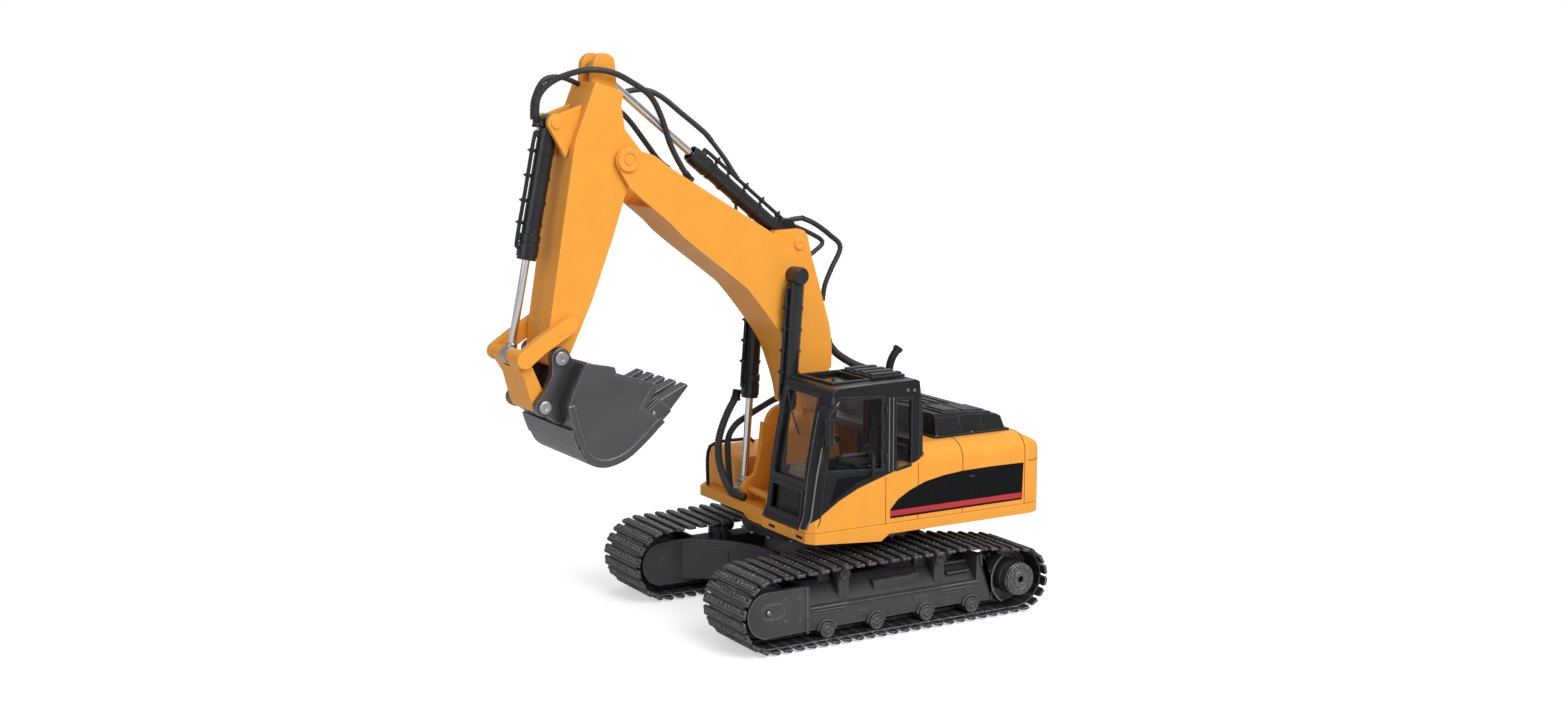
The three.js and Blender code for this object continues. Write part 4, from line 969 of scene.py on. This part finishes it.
def hoses():
    y = ARM_Y
    hose("boom_hose_sleeve", [
        (-45, y, 113.3), (-45, y, 118), (-42, y, 124), (-34, y, 129), (-22, y, 134), (-12, y, 140),
        (-7, y, 144.8), (-3.2, y, 150.4)], 2.4, "house", "boom_hose", "boom")
    fitting("boom_hose_collar", (-45, y, 112.6), (0, 0, 1), 2.4, "house")
    fitting("boom_hose_gland", (-2.4, y, 151.6), (-0.5, 0, -0.8), 2.4, "boom")
    hose("stick_hose_upper_sleeve", [
        (85, -1, 244), (90, -1, 251), (97, 0, 263), (103, 2, 277), (111, 5, 288.6), (123, 8, 296),
        (136, 9.4, 301.6), (150, 7.6, 302.6), (164, 1, 297.6), (171.8, -2, 289), (172.2, -4, 276)],
        1.7, "boom", "stick_hose_upper", "stick")
    fitting("stick_hose_collar", (85, -1, 244), (0.6, 0, 0.8), 1.4, "boom")
    fitting("stick_hose_gland", (172.2, -4, 275.4), (0, 0, 1), 1.5, "stick")
    hose("stick_hose_lower_sleeve", [
        (92, -12, 249.4), (98, -12, 254), (105.8, -12, 263.8), (114.7, -12, 274.9), (121.4, -12, 281),
        (126.6, -12, 283.4)], 1.6, "boom", "stick_hose_lower", "stick")
    hose("gland_hose_sleeve", [
        (69.4, -4.4, 263.4), (73.9, -5, 268.6), (86.2, -6.4, 278.5), (98.4, -8, 288.1), (107.5, -9.6, 291.6),
        (117, -10, 291), (125.4, -10, 288.6)], 1.6, "boom", "gland_hose", "stick")
    hose("knee_hose_sleeve", [
        (13, -3, 219.5), (5, -3, 216), (-5.7, -4, 209), (-12.6, -4, 201.8), (-6.8, -4, 190), (-2.5, -4, 180.8),
        (-1, -4, 172)], 1.6, "boom", "knee_hose")
    hose("knee_hose_short", [(18, -6, 215.5), (6.4, -6, 210.6), (-2, -6, 205.2), (3, -6, 200.2),
                             (9.7, -6, 196.5)], 1.4, "boom")
    hose("knee_hose_start", [(24, -4, 217.6), (19, -3.6, 219), (13, -3, 219.5)], 1.6, "boom")
    hose("knee_hose_stay", [(54.3, -4, 236.4), (54.8, -4, 230), (55.1, -4, 222)], 1.0, "boom")
    hose("barrel_hose", [(69.4, -4.4, 263.4), (65.6, -4.2, 258.8), (61.5, -4, 253.6), (57.4, -4, 247.8),
                         (53.6, -4, 242.6)], 1.4, "boom", other="stick_cylinder_barrel")
    junction = bmesh.new()
    prism(junction, "Y", [(17.4, 214.2), (21, 219.8), (27.6, 220), (29.6, 217.2), (25, 213.6)], -7.6, -0.4)
    hard("pipe_block", junction, BLACK, "stick_cylinder_barrel", 0.5)
    hose("bucket_hose_short", [(172.1, -9, 277.4), (171.2, -9, 287.8), (165.3, -9, 297.5), (155.2, -9, 298.7),
                               (143.4, -9, 294)], 1.5, "stick")
    hose("cylinder_hose_sleeve", [(44.6, -13.4, 61.8), (46.8, -20, 62.6), (47, -26, 64), (48.4, -30.4, 70),
                                  (50.4, -33, 81), (49.6, -34, 93), (44.6, -34, 106), (38.6, -33.6, 116)], 2.3,
         "house", "cylinder_hose", "boom_cylinder_rod_right")
    fitting("cylinder_hose_collar", (38.8, -33.6, 115.6), (-0.2, 0, 1), 2.0, "boom_cylinder_rod_right")
    hose("foot_hose", [(42, -34.4, 60.4), (42.6, -34.8, 68), (43.4, -35, 81.4), (43.2, -34.8, 92),
                       (38.6, -34.4, 99.4), (30, -34, 104.4), (21.6, -33, 108.8), (15, -27.6, 113.8),
                       (12, -17.6, 116.4)], 2.0, "house", other="boom")


hoses()


# ---- house --------------------------------------------------------------
DECAL_SIDE = [(2.6, 67), (-2.3, 72.1), (-9.8, 76.2), (-20.2, 80), (-32.4, 82.1), (-45.3, 83.2), (-65.3, 83.5),
              (-86.9, 83.3), (-86.1, 62.2), (2.5, 62.1)]


def seam(bm, x, low, face, side, high=None):
    """A panel joint up a side wall and over its rounded top edge, or only up to high."""
    if high:
        block(bm, (x - 0.22, x + 0.22), sorted((face - side * 0.5, face + side * 0.07)), (low, high))
        return
    turn = face - side * 11
    outer = [(turn + side * a, 89 + b) for a, b in arc((0, 0), 11.07, 0, 90, 12)]
    inner = [(turn + side * a, 89 + b) for a, b in arc((0, 0), 10.4, 0, 90, 12)]
    prism(bm, "X", [(face + side * 0.07, low), *outer, (face - side * 25, 100.07), (face - side * 25, 99.4),
                    *reversed(inner), (face - side * 0.6, low)], x - 0.22, x + 0.22)


def house():
    seams, decals, stripes, slots, trims = (bmesh.new() for _ in range(5))
    for face, side in ((HOUSE_LEFT, 1), (HOUSE_RIGHT, -1)):
        skin_at = sorted((face - side * 0.2, face + side * 0.16))
        line_at = sorted((face, face + side * 0.3))
        prism(decals, "Y", DECAL_SIDE, *skin_at)
        prism(stripes, "Y", [(2.6, 66.3), (2.6, 63.3), (-86.3, 63.3), (-86.4, 66.3)], *line_at)
        seam(seams, -45.2, 59.7, face, side)
        seam(seams, HOUSE_REAR + 0.1, 59.7, face, side)
        corner = (HOUSE_REAR - 2, face - side * 14)
        bends = [*arc(corner, 14.07, 90, 168, 12), *arc(corner, 13.4, 168, 90, 12)]
        band = [(x, corner[1] + side * (y - corner[1])) for x, y in bends]
        prism(seams, "Z", band, 83.9, 84.3)
        # the latch sits on a dark sheet, painted shade of its recess
        latch = sorted((face - side * 0.1, face + side * 0.45))
        prism(slots, "Y", [(-54, 77.6), (-48.6, 77.6), (-48.6, 81.4), (-54, 81.4)], *latch)
        prism(trims, "Y", [(-53, 79), (-49.6, 79), (-49.6, 80.2), (-53, 80.2)],
              *sorted((face, face + side * 0.75)))
    seam(seams, -15.5, 59.7, HOUSE_LEFT, 1, 91)
    seam(seams, 5.6, 59.7, HOUSE_LEFT, 1, 85.4)
    # dark sheets on the front: painted shade inside the slots
    for y in (33, 62):
        block(slots, (53.4, 54.12), (y - 3.2, y + 3.2), (55.5, 57))
    hard("panel_seams", seams, SEAM, "house", 0)
    hard("side_decals", decals, DECAL_AND_SHADE, "house", 0)
    hard("side_stripes", stripes, RED, "house", 0)
    hard("body_slots", slots, DECAL_AND_SHADE, "house", 0.1, segments=1)
    hard("latches", trims, BLACK, "house", 0.15, segments=1)


HOOD_REAR, HOOD_TOP, HOOD_SLOPE = -79, 109.6, 2.8 / 37


def hood():
    bm = bmesh.new()
    prism(bm, "Z", [(-85.4, -44.4), (-34.6, -44.4), (-34.6, 60.2), (-85.4, 60.2)], 99.8, 101.4)
    plates = [(-77.4, -44, 30, 53.4, 0.8), (-74.6, -60, 33, 50.4, 1.7), (-58, -46.6, 33, 50.4, 1.7),
              *((x, x + 3.6, -34, -16, 1.1) for x in (-76, -69.6, -63.2, -56.8, -50.4)),
              (-72, -42.4, -6, 26, 0.9), *((x, x + 3.6, -4, 24, 1.8) for x in (-70, -63.2, -56.4, -49.6))]
    for x0, x1, y0, y1, lift in plates:
        z0, z1 = (HOOD_TOP + (x - HOOD_REAR) * HOOD_SLOPE for x in (x0, x1))
        prism(bm, "Y", [(x0, z0 - 0.5), (x1, z1 - 0.5), (x1, z1 + lift), (x0, z0 + lift)], y0, y1)
    for x in (-68, -53.4):
        for outline in ([(57.6, 102), (58.5, 102), (55.8, 110.2), (55, 110.2)],
                        [(-42.1, 102), (-43, 102), (-40.2, 110.2), (-39.6, 110.2)]):
            prism(bm, "X", outline, x - 0.3, x + 0.3)
    hard("hood_details", bm, BLACK, "house", 0.3)
    # bolt heads in the light grey of the painted highlights
    heads = bmesh.new()
    bolts(heads, [(x, y, 101.4) for x in (-83.4, -60, -36.4) for y in (-43, 59.2)], (0, 0, 1), 0.9, 0.5)
    hard("hood_bolts", heads, HIGHLIGHT_GREY, "house", 0.06, segments=1)
    tip = bmesh.new()
    turned(tip, (-58, -12, 139), (-0.62, 0, 0.78), [(-1.4, 2.3), (-1.4, 2.9), (0.8, 2.9), (0.8, 2.1),
                                                    (-0.8, 2.0)], 20)
    hard("exhaust_tip", tip, BLACK, "house", 0.12, segments=1)
    cap = bmesh.new()
    turned(cap, (-60, -57, 99.4), (0, 0, 1), [(0, 4.4), (1.6, 4.4), (2, 4), (2, 3), (3.2, 2.7), (3.4, 2.2)], 24)
    hard("filler_cap", cap, BLACK, "house", 0.2)


house()
hood()


# ---- cab ----------------------------------------------------------------
CAB_FRONT = [(54, 60), (51, 66.2), (47.8, 91.4), (44, 111.6), (40.1, 129.6), (38.6, 134)]
DOOR = [(43.5, 100), (42.6, 92.3), (8, 89.9), (8, 128.9), (35.4, 130.1), (38.3, 127.5)]
QUARTER = [(-1.2, 88.6), (-11, 90.6), (-11, 126.6), (-1.2, 127)]
RIGHT_WINDOW = [(42, 86), (-12, 88), (-12, 128), (34, 129)]
REAR_WINDOW = [(30, 102), (64, 102), (64, 129), (30, 129)]
SKYLIGHT = [(10, 28), (32, 28), (32, 60), (10, 60)]
WINDOWS = [  # outline, axis, start of the pane, ends of the seal, how far the seal reaches out and in
    (DOOR, "Y", 70.1, 71.2, 72.15, 1.3, 0.5), (QUARTER, "Y", 70.1, 71.2, 72.05, 1, 0.5),
    (RIGHT_WINDOW, "Y", 23.2, 21.7, 22.6, 1.3, 0.5), (REAR_WINDOW, "X", -18.4, -20.1, -19, 1.3, 0.5),
    (SKYLIGHT, "Z", 135, 136.3, 137.7, 1.8, 0.3),
]


def front_x(z):
    """How far forward the cab's front face reaches at height z."""
    for (x0, z0), (x1, z1) in zip(CAB_FRONT, CAB_FRONT[1:]):
        if z <= z1:
            return x0 + (x1 - x0) * (z - z0) / (z1 - z0)
    return CAB_FRONT[-1][0]


def corner_y(x):
    """Where the cab's front face turns into its side, for a front face at x."""
    return 66 + (60 - x) * 5.8 / 14


CORNER_REACH = 1.25  # how much further a corner moves than a side


def grown(outline, by):
    """An outline with its corners moved away from its middle."""
    centre = sum((Vector(p) for p in outline), Vector((0, 0))) / len(outline)
    arms = [Vector(p) - centre for p in outline]
    return [tuple(centre + arm * (1 + by * CORNER_REACH / arm.length)) for arm in arms]


def front_strip(bm, z0, z1, y0, y1, back, thick, steps=10):
    """A slab that follows the cab's front face, from back to back - thick behind it."""
    heights = [z0 + (z1 - z0) * i / steps for i in range(steps + 1)]
    face = [(front_x(z) - back, z) for z in heights]
    prism(bm, "Y", [*face, *((x - thick, z) for x, z in reversed(face))], y0, y1)


def cab():
    clear, smoked, seals = bmesh.new(), bmesh.new(), bmesh.new()
    for outline, axis, pane, low, high, out, into in WINDOWS:
        prism(clear, axis, grown(outline, 0.7), pane, pane + 0.5)
        prism(seals, axis, grown(outline, out), low, high, [grown(outline, -into)])
    front_strip(clear, 83.4, 131.2, 25.4, 59.6, 1.5, 0.5)
    front_strip(smoked, 64.4, 80.2, 25.4, 58.6, 1.6, 0.6)
    hard("window_panes", clear, GLASS, "house", 0, replaces=["cab_glass"])
    hard("lower_pane", smoked, SMOKED, "house", 0)
    for z0, z1, y0, y1 in ((84, 130.6, 26, 59), (65, 79.6, 26, 58)):
        for low, high in ((y0 - 1.2, y0 + 0.7), (y1 - 0.7, y1 + 1.2)):
            front_strip(seals, z0, z1, low, high, -0.5, 1.4)
        for low, high in ((z0 - 1.2, z0 + 0.7), (z1 - 0.7, z1 + 1.2)):
            front_strip(seals, low, high, y0 - 1.2, y1 + 1.2, -0.5, 1.4, 2)
    hard("window_seals", seals, BLACK, "house", 0.25)
    # front corner post, a raised band with two ridges, made bright with painted highlight
    post = bmesh.new()
    rings = []
    for i in range(25):
        z = 60.8 + (126.4 - 60.8) * i / 24
        x, swell = front_x(z), 1.0 if 0 < i < 24 else 0.3
        corner = corner_y(x)
        section = [(x - 1, 62), (x + 0.5 * swell, 62.2), (x + 1.5 * swell, 63.6),
                   (x + 1.7 * swell, corner - 2.4), (x + 0.9 * swell, corner - 0.4),
                   (x - 1, corner + 0.7 * swell), (x - 4, 71.8 + 0.5 * swell), (x - 4.8, 71.5)]
        rings.append([post.verts.new(at(a, min(b, 72.4), z)) for a, b in section])
    skin(post, rings)
    hard("corner_post", post, BLACK, "house", 0.2)
    # the ridges, door lines and bolt heads are light grey as painted highlights
    ridges = bmesh.new()
    heights = [61.4 + (123.6 - 61.4) * i / 10 for i in range(11)]
    tube(ridges, [(front_x(z) + 1.3, 63.4, z) for z in heights], 0.42, 2, 8)
    tube(ridges, [(front_x(z) + 0.5, min(71.6, corner_y(front_x(z))) - 0.2, z) for z in heights], 0.5, 2, 8)
    tube(ridges, [(39.3, 71.4, 127.6), (38.6, 71.4, 131.8), (36.8, 71.2, 134.6), (32, 71, 136), (11, 71, 136.5),
                  (-12, 71, 136.7)], 0.45, 2, 8)
    for x in (3.4, 0.8):
        tube(ridges, [(x, 71.7, 88), (x, 71.7, 100), (x, 71.7, 128.6)], 0.35, 4, 8)
    bolts(ridges, [(-8.4, 71.7, 131.6), (-12.6, 71.7, 131.2)], (0, 1, 0), 0.9, 0.4, 10)
    hard("cab_ridges", ridges, HIGHLIGHT_GREY, "house", 0)
    # a darker sheet where the door recess is: painted shade
    trims = bmesh.new()
    prism(trims, "Y", [(41.4, 74), (35.9, 87.9), (10.8, 87.8), (24.6, 84)], 71.5, 71.95)
    hard("door_recess", trims, DECAL_AND_SHADE, "house", 0.1, segments=1)
    handle = bmesh.new()
    tube(handle, [(14.6, 71.6, 87), (14.6, 73.4, 88.4), (14.6, 73.6, 90), (14.6, 73.6, 97), (14.6, 73.4, 98.6),
                  (14.6, 71.6, 100)], 0.7, 0.8, 8)
    for z in (96, 122):
        turned(handle, (5.4, 72.2, z - 2), (0, 0, 1), [(0, 0.9), (4, 0.9)], 12)
    block(handle, (-19.9, -19.2), (34, 60), (98, 99.4))
    tube(handle, [(42.4, 30, 131.4), (44.4, 38, 120), (44.2, 46, 108)], 0.5, 1.5, 8)
    hard("cab_fittings", handle, BLACK, "house", 0.12, segments=1)


def cab_inside():
    bm = bmesh.new()
    for x, y, z in (((32, 44), (29, 62), (66, 84)), ((-12, 10), (27, 34), (64, 90)),
                    ((-12, 10), (58, 65), (64, 90)), ((-17, -13), (26, 67), (63, 99))):
        block(bm, x, y, z)
    hard("cab_trim", bm, BLACK, "house", 1.2)
    seat = bmesh.new()
    prism(seat, "Y", [(-9, 86), (12, 86), (14, 88), (13, 90.4), (4, 90), (-6, 89)], 37, 55)
    prism(seat, "Y", [(-6, 88), (-2.4, 90), (-7.4, 110), (-10, 110.6)], 39, 53)
    hard("seat_cushions", seat, SEAT, "house", 1.4, segments=3)
    levers = bmesh.new()
    for y in (40, 46, 52):
        tube(levers, [(34, y, 83), (33, y, 90), (31, y, 97)], 0.7, 1.5, 8)
        turned(levers, (31, y, 96), (-0.2, 0, 1), [(0, 1), (0.6, 1.6), (3, 1.7), (4, 1)], 12)
    for y in (31, 61):
        tube(levers, [(8, y, 89), (9, y, 95), (10, y, 99)], 0.7, 1.5, 8)
        turned(levers, (10, y, 98), (0.2, 0, 1), [(0, 1), (0.6, 1.5), (3, 1.6), (4, 1)], 12)
    hard("levers", levers, BLACK, "house", 0)
    console = bmesh.new()
    prism(console, "Y", [(33, 84), (43.6, 84), (42.4, 88.6), (38, 90.6), (34, 88)], 33, 50)
    hard("console", console, CONSOLE, "house", 1.0)


cab()
cab_inside()


# ---- centre of the undercarriage ----------------------------------------
def centre():
    walls = bmesh.new()
    for side in (1, -1):
        inner, outer = ([(side * (88 - x), y) for x, y in arc((0, 0), r, -66, 66, 22)] for r in (52, 54))
        prism(walls, "Z", [*inner, *reversed(outer)], 9, 32)
        prism(walls, "Z", [*((x + side * 0.6, y) for x, y in inner), *reversed(outer)], 30.4, 32.6)
    for y in ((-47.8, -44.6), (44.6, 47.8)):
        for x, z in (((38, 41.6), (26, 37.6)), ((43.4, 47), (26, 37.6)), ((36.8, 48.2), (25, 28))):
            block(walls, x, y, z)
    hard("centre_walls", walls, FRAME, "undercarriage", 0.5)
    heads = bmesh.new()
    bolts(heads, [(47.4 * math.cos(t), 47.4 * math.sin(t), 45) for t in spokes(20)], (0, 0, -1), 1.2, 1)
    hard("slew_ring_bolts", heads, PIN, "undercarriage", 0.1, segments=1)


centre()


# ---- CAD nodes that stay in view ----------------------------------------
KEPT = {
    "deck": (YELLOW, 0.9), "left_side_panel": (YELLOW, 0.8), "right_side_panel": (YELLOW, 0.8),
    "counterweight": (YELLOW, 1.2), "engine_hood": (BLACK, 0.7), "exhaust": (BLACK, 0.3),
    "cab_frame": (BLACK, 0.8), "roof_hatch": (BLACK, 0.3), "seat": (SEAT, 1.5),
    "mirror": (BLACK, 0.4), "handrail": (BLACK, 0.2), "battery_pack": (BLACK, 1.0),
    "boom_bracket": (YELLOW, 0.5), "boom_foot_pin": (PIN, 0.4),
    "boom_cylinder_pin": (PIN, 0.4), "stick_pin": (YELLOW, 0.4), "rocker": (YELLOW, 0.6),
    "bucket_link": (YELLOW, 0.6), "bucket_pin": (PIN, 0.4), "link_pin": (PIN, 0.4),
}
for node, (material, width) in KEPT.items():
    dress(node, material, width)

studio()
